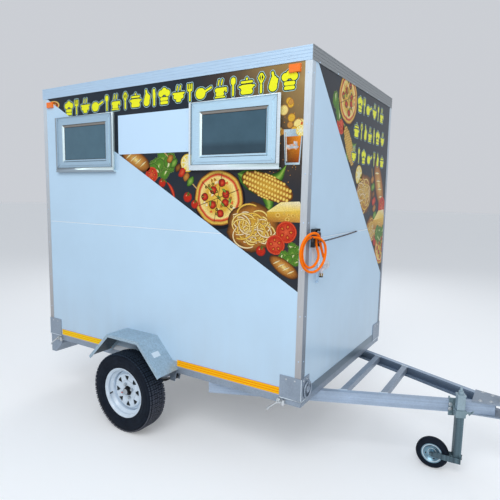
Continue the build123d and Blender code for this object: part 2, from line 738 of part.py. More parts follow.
def leaf_springs():
    """Packs of curved leaves with rolled eyes, lying on top of the axle."""
    bottom = WHEEL_RADIUS + AXLE_TUBE / 2
    radius = (SPRING_HALF_SPAN ** 2 + SPRING_RISE ** 2) / (2 * SPRING_RISE)
    centre_z = bottom + SPRING_PACK + radius
    y_low = -SPRING_Y - SPRING_WIDTH / 2
    y_high = -SPRING_Y + SPRING_WIDTH / 2
    leaves = []
    for index, half_length in enumerate(LEAF_HALF_LENGTHS):
        outer = radius + (index + 1) * LEAF
        inner = outer - LEAF
        disc = rod((AXLE_X, y_low, centre_z), (AXLE_X, y_high, centre_z), outer)
        disc -= rod((AXLE_X, y_low - 1, centre_z), (AXLE_X, y_high + 1, centre_z), inner)
        keep_x = (AXLE_X - half_length, AXLE_X + half_length)
        leaves.append(disc & slab(keep_x, (y_low, y_high), (bottom - LEAF, centre_z - radius / 2)))
    pack = leaves[0]
    for leaf in leaves[1:]:
        pack += leaf
    for x in spring_eye_places():
        pack += rod((x, y_low, SPRING_EYE_Z), (x, y_high, SPRING_EYE_Z), EYE_RADIUS)
    bore = EYE_BOLT_RADIUS + RUNNING_GAP
    for x in spring_eye_places():
        pack -= rod((x, y_low - 1, SPRING_EYE_Z), (x, y_high + 1, SPRING_EYE_Z), bore)
    return pair(pack)


def spring_hangers():
    """Plate pairs under the rails that hold the springs' eyes on bolts."""
    inner = SPRING_WIDTH / 2 + RUNNING_GAP
    bolt = SPRING_WIDTH / 2 + EYE_BOLT_END
    foot_z = SPRING_EYE_Z - HANGER_FOOT_HALF
    hangers = []
    for x in spring_eye_places():
        outline = (
            (x - HANGER_TOP_HALF, RAIL_LOW),
            (x - HANGER_FOOT_HALF, foot_z),
            (x + HANGER_FOOT_HALF, foot_z),
            (x + HANGER_TOP_HALF, RAIL_LOW),
        )
        start = (x, -SPRING_Y - bolt, SPRING_EYE_Z)
        hanger = rod(start, (x, -SPRING_Y + bolt, SPRING_EYE_Z), EYE_BOLT_RADIUS)
        for low in (-SPRING_Y - inner - HANGER_PLATE, -SPRING_Y + inner):
            hanger += prism_y(outline, low, low + HANGER_PLATE)
        hangers += pair(hanger)
    return hangers


def axle_clamps():
    """A plate under the axle and two U-bolts over the spring, each side."""
    bolt = CLAMP_BOLT_RADIUS
    half = AXLE_TUBE / 2
    low = WHEEL_RADIUS - half - HANGER_PLATE
    top = WHEEL_RADIUS + half + SPRING_PACK + CLAMP_TOP_GAP
    reach = SPRING_WIDTH / 2 + bolt + RUNNING_GAP
    plate_x = (AXLE_X - half - CLAMP_PLATE_MARGIN, AXLE_X + half + CLAMP_PLATE_MARGIN)
    plate_y = (-SPRING_Y - reach - bolt - 3, -SPRING_Y + reach + bolt + 3)
    clamp = slab(plate_x, plate_y, (low, low + HANGER_PLATE))
    for x in (AXLE_X - half - bolt - 1, AXLE_X + half + bolt + 1):
        for leg in (-SPRING_Y - reach, -SPRING_Y + reach):
            clamp += rod((x, leg, low - 12), (x, leg, top + 2 * bolt), bolt)
            nut = Plane(origin=(x, leg, low), x_dir=(1, 0, 0), z_dir=(0, 0, -1))
            clamp += nut * extrude(RegularPolygon(2 * bolt, 6), amount=8)
        bar_z = top + bolt
        clamp += rod((x, -SPRING_Y - reach - bolt, bar_z), (x, -SPRING_Y + reach + bolt, bar_z), bolt)
    return pair(clamp)


def nut_places():
    """Angles of the wheel nuts round the axle."""
    return [NUT_TURN + 360.0 * (index + 0.5) / NUT_COUNT for index in range(NUT_COUNT)]


def wheel_face(side, y):
    """Axes on a wheel's disc: X forwards, Z out of the trailer."""
    return Plane(origin=(AXLE_X, side * y, WHEEL_RADIUS), x_dir=(1, 0, 0), z_dir=(0, side, 0))


def wheel_hub(side):
    """Hub with its flange, wheel nuts and grease cap."""
    bore = SPINDLE_RADIUS + RUNNING_GAP
    neck = HUB_BORE - 3
    flange_front = DISC_Y - RIM_SHEET
    flange_back = flange_front - HUB_FLANGE
    cap_end = DISC_Y + CAP_LENGTH
    outline = (
        (bore, HUB_INNER_Y),
        (HUB_BARREL, HUB_INNER_Y),
        (HUB_BARREL, flange_back),
        (HUB_FLANGE_RADIUS, flange_back),
        (HUB_FLANGE_RADIUS, flange_front),
        (neck, flange_front),
        (neck, DISC_Y + 6),
        (CAP_RADIUS, DISC_Y + 6),
        (CAP_RADIUS, cap_end - 6),
        (CAP_RADIUS - 2, cap_end - 2),
        (CAP_RADIUS - 6, cap_end),
        (0, cap_end),
        (0, DISC_Y - SPINDLE_INSET + 1),
        (bore, DISC_Y - SPINDLE_INSET + 1),
    )
    hub = revolve_y(outline, AXLE_X, 0, WHEEL_RADIUS, side)
    start = RIM_SHEET + 6
    face = wheel_face(side, DISC_Y - start)
    for turn in nut_places():
        place = Rot(0, 0, turn) * Pos(NUT_CIRCLE, 0)
        hub += face * place * extrude(Circle(STUD_RADIUS), amount=start)
        nut = extrude(RegularPolygon(NUT_RADIUS, 6), amount=NUT_HEIGHT)
        hub += face.offset(start) * place * nut
    return [hub]


def rim_barrel():
    """Profile of the rim's barrel, from its outer edge over the hollow side and back."""
    outer = RIM_OUTER_Y
    inner = RIM_INNER_Y
    seat = TYRE_SEAT_RADIUS
    well = RIM_WELL_RADIUS
    return (
        (RIM_FLANGE_RADIUS, outer),
        (RIM_FLANGE_RADIUS - 5, outer),
        (seat - RIM_SHEET, outer - 12),
        (seat - RIM_SHEET, outer - 30),
        (well - RIM_SHEET, outer - 46),
        (well - RIM_SHEET, inner + 42),
        (seat - RIM_SHEET, inner + 26),
        (seat - RIM_SHEET, inner + 12),
        (RIM_FLANGE_RADIUS - 5, inner),
        (RIM_FLANGE_RADIUS, inner),
        (RIM_FLANGE_RADIUS, inner + 4),
        (seat + 1, inner + 9),
        (seat, inner + 28),
        (well, inner + 44),
        (well, outer - 48),
        (seat, outer - 32),
        (seat + 1, outer - 9),
        (RIM_FLANGE_RADIUS, outer - 4),
    )


def rim_disc():
    """Profile of the dished disc from the hub's bore out to the rim's well."""
    front = (
        (HUB_BORE, 0),
        (72, 0),
        (82, 5),
        (118, 5),
        (126, 1),
        (131, -9),
        (140, -12),
        (147, -24),
    )
    back = (
        (147, -30),
        (137, -16),
        (127, -13),
        (122, -2),
        (116, 1),
        (84, 1),
        (74, -RIM_SHEET),
        (HUB_BORE, -RIM_SHEET),
    )
    return [(radius, DISC_Y + out) for radius, out in front + back]


def wheel_rim(side):
    """Steel rim with a stepped disc, rounded triangular vents and holes for the hub."""
    rim = revolve_y(rim_barrel(), AXLE_X, 0, WHEEL_RADIUS, side)
    rim += revolve_y(rim_disc(), AXLE_X, 0, WHEEL_RADIUS, side)
    face = wheel_face(side, DISC_Y - 20)
    vent = fillet(RegularPolygon(VENT_SIZE, 3, rotation=180).vertices(), VENT_ROUND)
    for index in range(VENT_COUNT):
        turn = VENT_TURN + 360.0 * index / VENT_COUNT
        rim -= face * extrude(Rot(0, 0, turn) * Pos(VENT_RADIUS, 0) * vent, amount=40)
    for turn in nut_places():
        hole = Rot(0, 0, turn) * Pos(NUT_CIRCLE, 0) * Circle(STUD_RADIUS + RUNNING_GAP)
        rim -= face * extrude(hole, amount=30)
    return [rim]


def wheel_tyre(side):
    """Road tyre: a bead on the rim seats, bulged sidewalls and a flat tread."""
    half = TYRE_WIDTH / 2
    bead = RIM_WIDTH / 2 - BEAD_INSET
    middle = ((TYRE_SEAT_RADIUS + WHEEL_RADIUS) / 2, half)
    seat = TYRE_SEAT_RADIUS + 1
    heel = (RIM_FLANGE_RADIUS + 3, bead + 5)
    shoulder = (WHEEL_RADIUS - TYRE_SHOULDER, half - 10)
    corner = (WHEEL_RADIUS - 7, half - 15)
    edge = (WHEEL_RADIUS, half - TYRE_TREAD_EDGE)

    def back(point):
        return (point[0], -point[1])

    lines = Polyline((seat, -bead), (seat, bead), heel)
    lines += ThreePointArc(heel, middle, shoulder)
    lines += ThreePointArc(shoulder, corner, edge)
    lines += Line(edge, back(edge))
    lines += ThreePointArc(back(edge), back(corner), back(shoulder))
    lines += ThreePointArc(back(shoulder), back(middle), back(heel))
    lines += Line(back(heel), (seat, -bead))
    plane = Plane(origin=(AXLE_X, side * RIM_MID_Y, WHEEL_RADIUS), x_dir=(1, 0, 0), z_dir=(0, 0, 1))
    axle = Axis((AXLE_X, 0, WHEEL_RADIUS), (0, 1, 0))
    return [revolve(plane * make_face(lines), axis=axle)]


def guard_points():
    return [(AXLE_X + along, WHEEL_RADIUS + up) for along, up in GUARD_OUTLINE]


def mudguard():
    """Galvanised sheet in three facets with a turned lip outside and a flange on the wall."""
    wall_y = -HALF_WIDTH
    outer_y = wall_y - GUARD_WIDTH
    guard = prism_y(sheet_outline(guard_points(), GUARD_SHEET), outer_y, wall_y)
    band = sheet_outline(guard_points(), GUARD_LIP)
    guard += prism_y(band, outer_y, outer_y + GUARD_SHEET)
    guard += prism_y(band, wall_y - GUARD_SHEET, wall_y)
    return guard


def floor_panel():
    """Floor slab under the walls with a thin sheet laid between them."""
    inset = PANEL + FLOOR_SHEET_GAP
    return [around(0, (FLOOR_Z, WALL_LOW)) + around(-inset, (WALL_LOW, WALL_LOW + FLOOR_SHEET))]


def roof_panel():
    return [around(0, (WALL_HIGH, ROOF_PANEL_TOP))]


def seam_z():
    middle = FLOOR_Z + SEAM_UP
    return (middle - SEAM_WIDTH / 2, middle + SEAM_WIDTH / 2)


def window_z():
    low = FLOOR_Z + WINDOW_UP
    return (low, low + WINDOW_HEIGHT)


def right_wall():
    """Side panel with a seam groove and two window openings."""
    along = (-HALF_LENGTH, HALF_LENGTH)
    face = -HALF_WIDTH
    wall = slab(along, (face, face + PANEL), (WALL_LOW, WALL_HIGH))
    wall -= slab(along, (face, face + SEAM_DEPTH), seam_z())
    low, high = window_z()
    cut_z = (low + WINDOW_FLANGE, high - WINDOW_FLANGE)
    half = WINDOW_WIDTH / 2 - WINDOW_FLANGE
    for x in WINDOW_CENTRES_X:
        wall -= slab((x - half, x + half), (face, face + PANEL), cut_z)
    return [wall]


def left_wall():
    """Side panel with a seam groove and the serving opening."""
    along = (-HALF_LENGTH, HALF_LENGTH)
    face = HALF_WIDTH
    wall = slab(along, (face - PANEL, face), (WALL_LOW, WALL_HIGH))
    wall -= slab(along, (face - SEAM_DEPTH, face), seam_z())
    across = (-HATCH_WIDTH / 2, HATCH_WIDTH / 2)
    return [wall - slab(across, (face - PANEL, face), (HATCH_SILL_Z, HATCH_TOP_Z))]


def end_wall(x_low, x_high, seam_x):
    """A panel across the cabin, between the side walls, with its seam groove."""
    half = HALF_WIDTH - PANEL
    wall = slab((x_low, x_high), (-half, half), (WALL_LOW, WALL_HIGH))
    return wall - slab(seam_x, (-half, half), seam_z())


def front_wall():
    face = HALF_LENGTH
    return [end_wall(face - PANEL, face, (face - SEAM_DEPTH, face))]


def rear_wall():
    """Rear panel with the door's opening."""
    face = -HALF_LENGTH
    wall = end_wall(face, face + PANEL, (face, face + SEAM_DEPTH))
    half = DOOR_WIDTH / 2
    return [wall - slab((face, face + PANEL), (-half, half), (DOOR_LOW_Z, DOOR_LOW_Z + DOOR_HEIGHT))]


def plate_z():
    return (FLOOR_Z + PLATE_UP[0], FLOOR_Z + PLATE_UP[1])


def corner_angle(side, leg_side, leg_end, sheet, z):
    """An angle round a right corner: its legs along the side and along the end wall."""
    face = side * HALF_LENGTH
    out = face + side * sheet
    y = -HALF_WIDTH
    angle = slab(sorted((face - side * leg_side, out)), (y - sheet, y), z)
    return angle + slab(sorted((face, out)), (y - sheet, y + leg_end), z)


def corner_trims():
    """Aluminium angles on the four upright corners."""
    z = (plate_z()[1], ROOF_TRIM_LOW)
    trims = []
    for side in (-1, 1):
        trims += pair(corner_angle(side, CORNER_LEG, CORNER_LEG, TRIM, z))
    return trims


def roof_trim():
    """Ribbed aluminium band round the roof's edge with a lip on top."""
    band = around(ROOF_TRIM, (ROOF_TRIM_LOW, ROOF_TOP_Z))
    step = (ROOF_TRIM_HEIGHT - ROOF_RIB_HEIGHT) / (ROOF_RIBS - 1)
    for index in range(ROOF_RIBS):
        low = ROOF_TRIM_LOW + index * step
        band += around(ROOF_TRIM + ROOF_RIB_PROUD, (low, low + ROOF_RIB_HEIGHT))
    band -= around(0, (ROOF_TRIM_LOW - 1, ROOF_PANEL_TOP))
    band -= around(-ROOF_TRIM_LIP, (ROOF_PANEL_TOP - 1, ROOF_TOP_Z + 1))
    return [band]


def base_trims():
    """Strips along the foot of the walls, between corner plates and mudguards."""
    z = (FLOOR_Z, FLOOR_Z + BASE_TRIM_HEIGHT)
    end = HALF_LENGTH - PLATE_SIDE
    guard_rear = guard_points()[0][0] - GUARD_TRIM_GAP
    guard_front = guard_points()[-1][0] + GUARD_TRIM_GAP
    trims = []
    for x in ((-end, guard_rear), (guard_front, end)):
        trims += pair(slab(x, (-HALF_WIDTH - TRIM, -HALF_WIDTH), z))
    front_y = (-HALF_WIDTH + PLATE_FRONT_RIGHT, HALF_WIDTH - PLATE_FRONT_LEFT)
    trims.append(slab((HALF_LENGTH, HALF_LENGTH + TRIM), front_y, z))
    return trims


def corner_plates():
    """Steel angle plates round the four bottom corners."""
    sheet = PLATE_THICKNESS
    plates = pair(corner_angle(-1, PLATE_SIDE, PLATE_FRONT_RIGHT, sheet, plate_z()))
    plates.append(corner_angle(1, PLATE_SIDE, PLATE_FRONT_RIGHT, sheet, plate_z()))
    plates.append(mirrored(corner_angle(1, PLATE_SIDE, PLATE_FRONT_LEFT, sheet, plate_z())))
    return plates


def leg_clamps():
    """Clamp screws with bent handles for prop legs, on the rails near the corners."""
    clamps = []
    z = RAIL_LOW + RAIL_HEIGHT / 3
    face = -HALF_WIDTH
    bar = LEG_CLAMP_HANDLE
    boss, boss_length = LEG_CLAMP_BOSS
    back, out, drop = LEG_CLAMP_ARM
    for x in (-HALF_LENGTH + LEG_CLAMP_INSETS[0], HALF_LENGTH - LEG_CLAMP_INSETS[1]):
        elbow = (x, face - LEG_CLAMP_SCREW + bar - 1, z)
        knee = (elbow[0] - back, elbow[1] - out, elbow[2] - drop)
        clamp = rod((x, face, z), (x, face - boss_length, z), boss)
        clamp += rod((x, face, z), (x, face - LEG_CLAMP_SCREW, z), bar + 1)
        clamp += rod(elbow, knee, bar) + Pos(*knee) * Sphere(bar)
        clamp += rod(knee, (knee[0] - LEG_CLAMP_GRIP[0], knee[1], knee[2] - LEG_CLAMP_GRIP[1]), bar)
        clamps += pair(clamp)
    return clamps


def tie_ring():
    """Round lashing ring in a staple on the right front corner plate."""
    x = HALF_LENGTH + PLATE_THICKNESS
    y = RING_FROM_SIDE - HALF_WIDTH
    z = FLOOR_Z + RING_UP
    depth = 2 * RING_BAR + 2 * RUNNING_GAP
    top = z + RING_RADIUS
    ring = Pos(x + RING_BAR + RUNNING_GAP, y, z) * Rot(0, 90, 0) * Torus(RING_RADIUS, RING_BAR)
    staple = slab((x, x + depth + 4), (y - 8, y + 8), (top - 14, top + 14))
    staple -= slab((x, x + depth), (y - 8, y + 8), (top - 1.5 - RING_BAR, top + 0.8 + RING_BAR))
    return [ring, staple]


def light_bar():
    """Folded sheet beam under the rear end that carries the lamps."""
    rear = -HALF_LENGTH
    length = LIGHT_BAR_LENGTH
    wall = TUBE_WALL
    foot_z = RAIL_LOW - LIGHT_BAR_DROP
    fold_z = RAIL_LOW - LIGHT_BAR_FRONT_DROP
    outline = (
        (rear, RAIL_LOW),
        (rear + length, RAIL_LOW),
        (rear + length, fold_z),
        (rear + LIGHT_BAR_FOOT, foot_z),
        (rear, foot_z),
    )
    inner = (
        (rear + wall, RAIL_LOW - wall),
        (rear + length - wall, RAIL_LOW - wall),
        (rear + length - wall, fold_z + wall / 2),
        (rear + LIGHT_BAR_FOOT - wall / 2, foot_z + wall),
        (rear + wall, foot_z + wall),
    )
    bar = prism_y(outline, -HALF_WIDTH, HALF_WIDTH)
    return [bar - prism_y(inner, -HALF_WIDTH + wall, HALF_WIDTH - wall)]


def tail_lamps():
    """Round-cornered lamps on the back of the beam."""
    rear = -HALF_LENGTH
    low, high = (RAIL_LOW - drop for drop in LAMP_DROP[::-1])
    lamp = slab((rear - LAMP_DEPTH, rear), (-LAMP_Y[1], -LAMP_Y[0]), (low, high))
    return pair(fillet(lamp.edges().filter_by(Axis.X), LAMP_ROUND))


def number_plate():
    rear = -HALF_LENGTH
    width, height, sheet = NUMBER_PLATE
    high = RAIL_LOW - PLATE_THICKNESS
    return [slab((rear - sheet, rear), (-width / 2, width / 2), (high - height, high))]


def side_markers():
    """Amber lamps high on both sides near the ends."""
    length, depth, height = MARKER_SIZE
    markers = []
    for side, (inset, up) in ((-1, REAR_MARKER), (1, FRONT_MARKER)):
        x = side * (HALF_LENGTH - inset)
        z = FLOOR_Z + up
        span = (x - length / 2, x + length / 2)
        markers += pair(slab(span, (-HALF_WIDTH - depth, -HALF_WIDTH), (z - height / 2, z + height / 2)))
    return markers


def sign_panel():
    z = (FLOOR_Z + SIGN_UP[0], FLOOR_Z + SIGN_UP[1])
    return [slab(SIGN_X, (-HALF_WIDTH - SIGN_SHEET, -HALF_WIDTH), z)]


def window_frames():
    """Aluminium frames with a sill: the flange on the wall, the box through it."""
    low, high = window_z()
    face = -HALF_WIDTH
    half = WINDOW_WIDTH / 2
    box = half - WINDOW_FLANGE
    hole = half - WINDOW_BORDER
    hole_z = (low + WINDOW_BORDER + SASH_LIFT, high - WINDOW_BORDER + SASH_LIFT)
    proud, drop, wider = WINDOW_SILL
    frames = []
    for x in WINDOW_CENTRES_X:
        frame = slab((x - half, x + half), (face - WINDOW_FLANGE, face), (low, high))
        sill_x = (x - half - wider, x + half + wider)
        frame += slab(sill_x, (face - WINDOW_FLANGE - proud, face), (low - drop, low))
        frame += slab((x - box, x + box), (face, face + PANEL), (low + WINDOW_FLANGE, high - WINDOW_FLANGE))
        frame -= slab((x - hole, x + hole), (face - WINDOW_FLANGE, face + PANEL), hole_z)
        frames.append(frame)
    return frames


def sash_box(x, inset):
    """A window's hole in its frame, made smaller by the inset."""
    low, high = window_z()
    half = WINDOW_WIDTH / 2 - WINDOW_BORDER - inset
    z = (low + WINDOW_BORDER + SASH_LIFT + inset, high - WINDOW_BORDER + SASH_LIFT - inset)
    return (x - half, x + half), z


def window_sashes():
    """Aluminium sashes whose inner edges slope in towards the glass."""
    front = -HALF_WIDTH - WINDOW_FLANGE - SASH_PROUD
    sashes = []
    for x in WINDOW_CENTRES_X:
        outer_x, outer_z = sash_box(x, 0)
        inner_x, inner_z = sash_box(x, SASH_BORDER)
        y = (front, front + SASH_DEPTH)
        sash = slab(outer_x, y, outer_z) - slab(inner_x, y, inner_z)
        edges = [edge for edge in sash.edges() if on_inner_rim(edge, front, inner_x, inner_z)]
        sashes.append(chamfer(edges, SASH_BEVEL / 2, SASH_BEVEL))
    return sashes


def on_inner_rim(edge, front, x, z):
    """Whether an edge lies on the front rim of a sash's hole."""
    middle = edge.center()
    inside_x = x[0] - 1 < middle.X < x[1] + 1
    inside_z = z[0] - 1 < middle.Z < z[1] + 1
    return abs(middle.Y - front) < 0.1 and inside_x and inside_z


def window_glass():
    panes = []
    front = -HALF_WIDTH - WINDOW_FLANGE + GLASS_INSET
    for x in WINDOW_CENTRES_X:
        pane_x, pane_z = sash_box(x, SASH_BORDER)
        panes.append(slab(pane_x, (front, front + GLASS), pane_z))
    return panes


def hatch_barrels(places):
    """Hinge barrels along the hatch's axis, centred at the given places."""
    half = KNUCKLE_LENGTH / 2
    barrels = []
    for x in places:
        start = (x - half, HATCH_AXIS_Y, HATCH_AXIS_Z)
        barrels.append(rod(start, (x + half, HATCH_AXIS_Y, HATCH_AXIS_Z), HINGE_RADIUS))
    return barrels


def serving_hatch():
    """Insulated flap with knuckles on its top edge, strut lugs inside and latches outside."""
    half = HATCH_WIDTH / 2 + HATCH_OVERLAP
    inner = HALF_WIDTH + LEAF_GAP
    outer = inner + LEAF_PANEL
    z = (HATCH_SILL_Z - HATCH_OVERLAP, HATCH_TOP_Z + HATCH_OVERLAP)
    hatch = slab((-half, half), (inner, outer), z)
    for x, barrel in zip(KNUCKLE_X, hatch_barrels(KNUCKLE_X)):
        span = (x - KNUCKLE_LENGTH / 2, x + KNUCKLE_LENGTH / 2)
        hatch += barrel
        hatch += slab(span, (HATCH_AXIS_Y + 1, HATCH_AXIS_Y + 1 + HINGE_PLATE), (z[1] - 1, HATCH_AXIS_Z))
    pin_y, pin_z = STRUT_PIN
    near, far = STRUT_LUG
    for side in (-1, 1):
        x = side * STRUT_X
        lug_x = sorted((x - side * near, x - side * far))
        hatch += slab(lug_x, (pin_y - 8, inner), (pin_z - 10, pin_z + 10))
        latch = side * LATCH_X
        latch_z = z[0] + LATCH_RISE
        hatch += slab((latch - 18, latch + 18), (outer, outer + 4), (latch_z - 34, latch_z + 34))
        hatch += rod((latch, outer, latch_z), (latch, outer + 22, latch_z), 9)
        hatch += slab((latch - 7, latch + 7), (outer + 16, outer + 24), (latch_z - 55, latch_z + 9))
    return [hatch]


def hatch_frame():
    """Aluminium lining round the opening."""
    half = HATCH_WIDTH / 2
    y = (HALF_WIDTH - PANEL, HALF_WIDTH)
    frame = slab((-half, half), y, (HATCH_SILL_Z, HATCH_TOP_Z))
    return [frame - slab((-half + TRIM, half - TRIM), y, (HATCH_SILL_Z + TRIM, HATCH_TOP_Z - TRIM))]


def hatch_hinges():
    """Fixed hinge halves on the wall over the opening."""
    step = KNUCKLE_LENGTH + KNUCKLE_GAP
    places = [x + side * step for x in KNUCKLE_X for side in (-1, 1)]
    web_z = (HATCH_AXIS_Z - HINGE_PLATE / 2, HATCH_AXIS_Z + HINGE_PLATE / 2)
    plate_z_range = (web_z[0], web_z[0] + HINGE_PLATE_RISE)
    pieces = []
    for x, barrel in zip(places, hatch_barrels(places)):
        span = (x - KNUCKLE_LENGTH / 2, x + KNUCKLE_LENGTH / 2)
        barrel += slab(span, (HALF_WIDTH, HATCH_AXIS_Y), web_z)
        barrel += slab(span, (HALF_WIDTH, HALF_WIDTH + HINGE_PLATE), plate_z_range)
        pieces.append(barrel)
    return pieces


def on_strut(x, distance):
    """A point on a gas strut's line, at a distance from its foot."""
    return (x, STRUT_FOOT[0] + STRUT_WAY[0] * distance, STRUT_FOOT[1] + STRUT_WAY[1] * distance)


def across(x, half, place):
    """The ends of a short bar along X at a place in Y and Z."""
    return (x - half, place[0], place[1]), (x + half, place[0], place[1])


def strut_tubes():
    """Pressure tubes with an eye at the foot and a bore for the rod."""
    tubes = []
    for x in (-STRUT_X, STRUT_X):
        tube = rod(on_strut(x, EYE_END_HALF), on_strut(x, STRUT_TUBE_LENGTH), STRUT_TUBE_RADIUS)
        tube += rod(*across(x, EYE_END_HALF, STRUT_FOOT), EYE_END_RADIUS)
        bore_end = on_strut(x, STRUT_TUBE_LENGTH + 1)
        tube -= rod(on_strut(x, 16), bore_end, STRUT_ROD_RADIUS + RUNNING_GAP)
        tube -= rod(*across(x, 2 * EYE_END_HALF, STRUT_FOOT), STRUT_PIN_RADIUS + RUNNING_GAP)
        tubes.append(tube)
    return tubes


def strut_rods():
    """Piston rods with an eye and its pin, which ends beside the hatch's lug."""
    rods = []
    for side in (-1, 1):
        x = side * STRUT_X
        piece = rod(on_strut(x, 20), on_strut(x, STRUT_RUN - EYE_END_HALF), STRUT_ROD_RADIUS)
        piece += rod(*across(x, EYE_END_HALF, STRUT_PIN), EYE_END_RADIUS)
        pin_start = (x + side * (EYE_END_HALF + 2), *STRUT_PIN)
        pin_end = (x - side * (STRUT_LUG[0] - RUNNING_GAP), *STRUT_PIN)
        piece += rod(pin_start, pin_end, STRUT_PIN_RADIUS)
        rods.append(piece)
    return rods


def strut_brackets():
    """Pins and plates on the jambs that the gas struts turn on."""
    brackets = []
    foot_y, foot_z = STRUT_FOOT
    for side in (-1, 1):
        jamb = side * (HATCH_WIDTH / 2 - TRIM)
        plate = sorted((jamb, jamb - side * 3))
        piece = slab(plate, (foot_y - 12, foot_y + 12), (foot_z - 20, foot_z + 20))
        pin_start = (jamb - side * 2, foot_y, foot_z)
        pin_end = (side * (STRUT_X - EYE_END_HALF - 2), foot_y, foot_z)
        piece += rod(pin_start, pin_end, STRUT_PIN_RADIUS)
        brackets.append(piece)
    return brackets


def door_barrel(low, high):
    return rod((DOOR_AXIS_X, DOOR_AXIS_Y, low), (DOOR_AXIS_X, DOOR_AXIS_Y, high), HINGE_RADIUS)


def door_hinge_places():
    return [FLOOR_Z + up for up in DOOR_HINGE_UP]


def rear_door():
    """Insulated door leaf that overlaps its opening, with strap hinges."""
    half = DOOR_WIDTH / 2 + DOOR_OVERLAP
    x = (DOOR_OUTER_X, DOOR_OUTER_X + LEAF_PANEL)
    z = (DOOR_LOW_Z - DOOR_SILL, DOOR_LOW_Z + DOOR_HEIGHT + DOOR_OVERLAP)
    leaf = slab(x, (-half, half), z)
    strap = (DOOR_OUTER_X - HINGE_PLATE, DOOR_OUTER_X)
    for middle in door_hinge_places():
        span = (middle - DOOR_HINGE_LENGTH / 2, middle + DOOR_HINGE_LENGTH / 2)
        leaf += door_barrel(*span)
        leaf += slab(strap, (half - DOOR_HINGE_REACH, DOOR_AXIS_Y), span)
    return [leaf]


def door_hinges():
    """Fixed hinge halves on the rear wall."""
    pieces = []
    wall = -HALF_LENGTH
    web_y = (DOOR_AXIS_Y + 1, DOOR_AXIS_Y + HINGE_RADIUS)
    for z in door_hinge_places():
        gap = DOOR_HINGE_LENGTH / 2 + KNUCKLE_GAP
        for low in (z - gap - DOOR_KNUCKLE, z + gap):
            span = (low, low + DOOR_KNUCKLE)
            piece = door_barrel(*span)
            piece += slab((DOOR_AXIS_X, wall), web_y, span)
            piece += slab((wall - HINGE_PLATE, wall), (web_y[0], DOOR_AXIS_Y + 50), span)
            pieces.append(piece)
    return pieces


def door_handle():
    """Lever handle on its rose."""
    y = -DOOR_WIDTH / 2 + 30
    z = FLOOR_Z + DOOR_HANDLE_UP
    face = DOOR_OUTER_X
    handle = slab((face - 8, face), (y - 22, y + 22), (z - 90, z + 90))
    handle += rod((face, y, z), (face - 48, y, z), 9)
    handle += rod((face - 44, y, z), (face - 44, y + 110, z), 8)
    return [handle]


def worktop():
    half = HALF_LENGTH - PANEL - WORKTOP_END_GAP
    wall = HALF_WIDTH - PANEL
    z = (WORKTOP_TOP_Z - WORKTOP_THICKNESS, WORKTOP_TOP_Z)
    return [slab((-half, half), (wall - WORKTOP_DEPTH, wall), z)]


def worktop_brackets():
    """Triangular sheet brackets from the left wall."""
    high = WORKTOP_TOP_Z - WORKTOP_THICKNESS
    low = high - BRACKET_DROP
    wall = HALF_WIDTH - PANEL
    tip = wall - WORKTOP_DEPTH + BRACKET_TIP_GAP
    outline = ((wall, high), (wall, low), (wall - BRACKET_STEM, low), (tip, high))
    end = HALF_LENGTH - PANEL - BRACKET_END_INSET
    step = 2 * end / (BRACKET_COUNT - 1)
    brackets = []
    for index in range(BRACKET_COUNT):
        x = -end + index * step
        brackets.append(prism_x(outline, x - BRACKET_SHEET / 2, x + BRACKET_SHEET / 2))
    return brackets


def coil_frame():
    """Axes of the hose's turns: X across the coil, Y up, Z out from the wall."""
    yaw = math.radians(COIL_YAW)
    way = (math.sin(yaw), math.cos(yaw), 0)
    return Plane(origin=COIL_CENTRE, x_dir=way, z_dir=(math.cos(yaw), -math.sin(yaw), 0))


def coil_point(right, up, out):
    """A point from its place on the coil."""
    point = coil_frame().from_local_coords((right, up, out))
    return (point.X, point.Y, point.Z)


def gas_bracket():
    """Dark tray on the front wall with the peg that the hose hangs on."""
    wall = HALF_LENGTH
    y = (TRAY_Y[0] - HALF_WIDTH, TRAY_Y[1] - HALF_WIDTH)
    z = (FLOOR_Z + TRAY_UP[0], FLOOR_Z + TRAY_UP[1])
    sheet = TRAY_SHEET
    tray = slab((wall, wall + TRAY_DEPTH), y, z)
    inside_x = (wall + sheet, wall + TRAY_DEPTH + 1)
    tray -= slab(inside_x, (y[0] + sheet, y[1] - sheet), (z[0] - 1, z[1] - sheet))
    notch = PIPE_RADIUS + 2
    pipe_z = FLOOR_Z + PIPE_UP[1]
    notch_x = (wall + PIPE_AHEAD - notch, inside_x[1])
    tray -= slab(notch_x, (y[1] - 2 * sheet, y[1]), (pipe_z - notch, pipe_z + notch))
    peg_z = COIL_CENTRE[2] + COIL_HOLE_RADIUS - PEG_RADIUS - PEG_DROP
    tip = (wall + PEG_TIP[0], PEG_TIP[1] - HALF_WIDTH)
    tray += rod((wall + PEG_START[0], PEG_START[1] - HALF_WIDTH, peg_z), (*tip, peg_z), PEG_RADIUS)
    tray += rod((*tip, peg_z - 3), (*tip, peg_z + PEG_HOOK), PEG_RADIUS)
    return [tray]


def inlet_route():
    """The hose from the gas outlet down to the coil, the last point inside the coil."""
    return [coil_point(*place) for place in (OUTLET_PLACE, *INLET_PLACES)]


def tail_route():
    """The hose from inside the coil down to the regulator."""
    return [coil_point(*place) for place in TAIL_PLACES]


def corner_radii(route):
    """The largest arcs the runs allow: 0.45 of the shorter run over the tangent of half the turn."""
    radii = []
    for before, corner, after in zip(route, route[1:], route[2:]):
        first = Vector(*corner) - Vector(*before)
        second = Vector(*after) - Vector(*corner)
        half_turn = math.radians(first.get_angle(second)) / 2
        radii.append(0.45 * min(first.length, second.length) / math.tan(half_turn))
    return radii


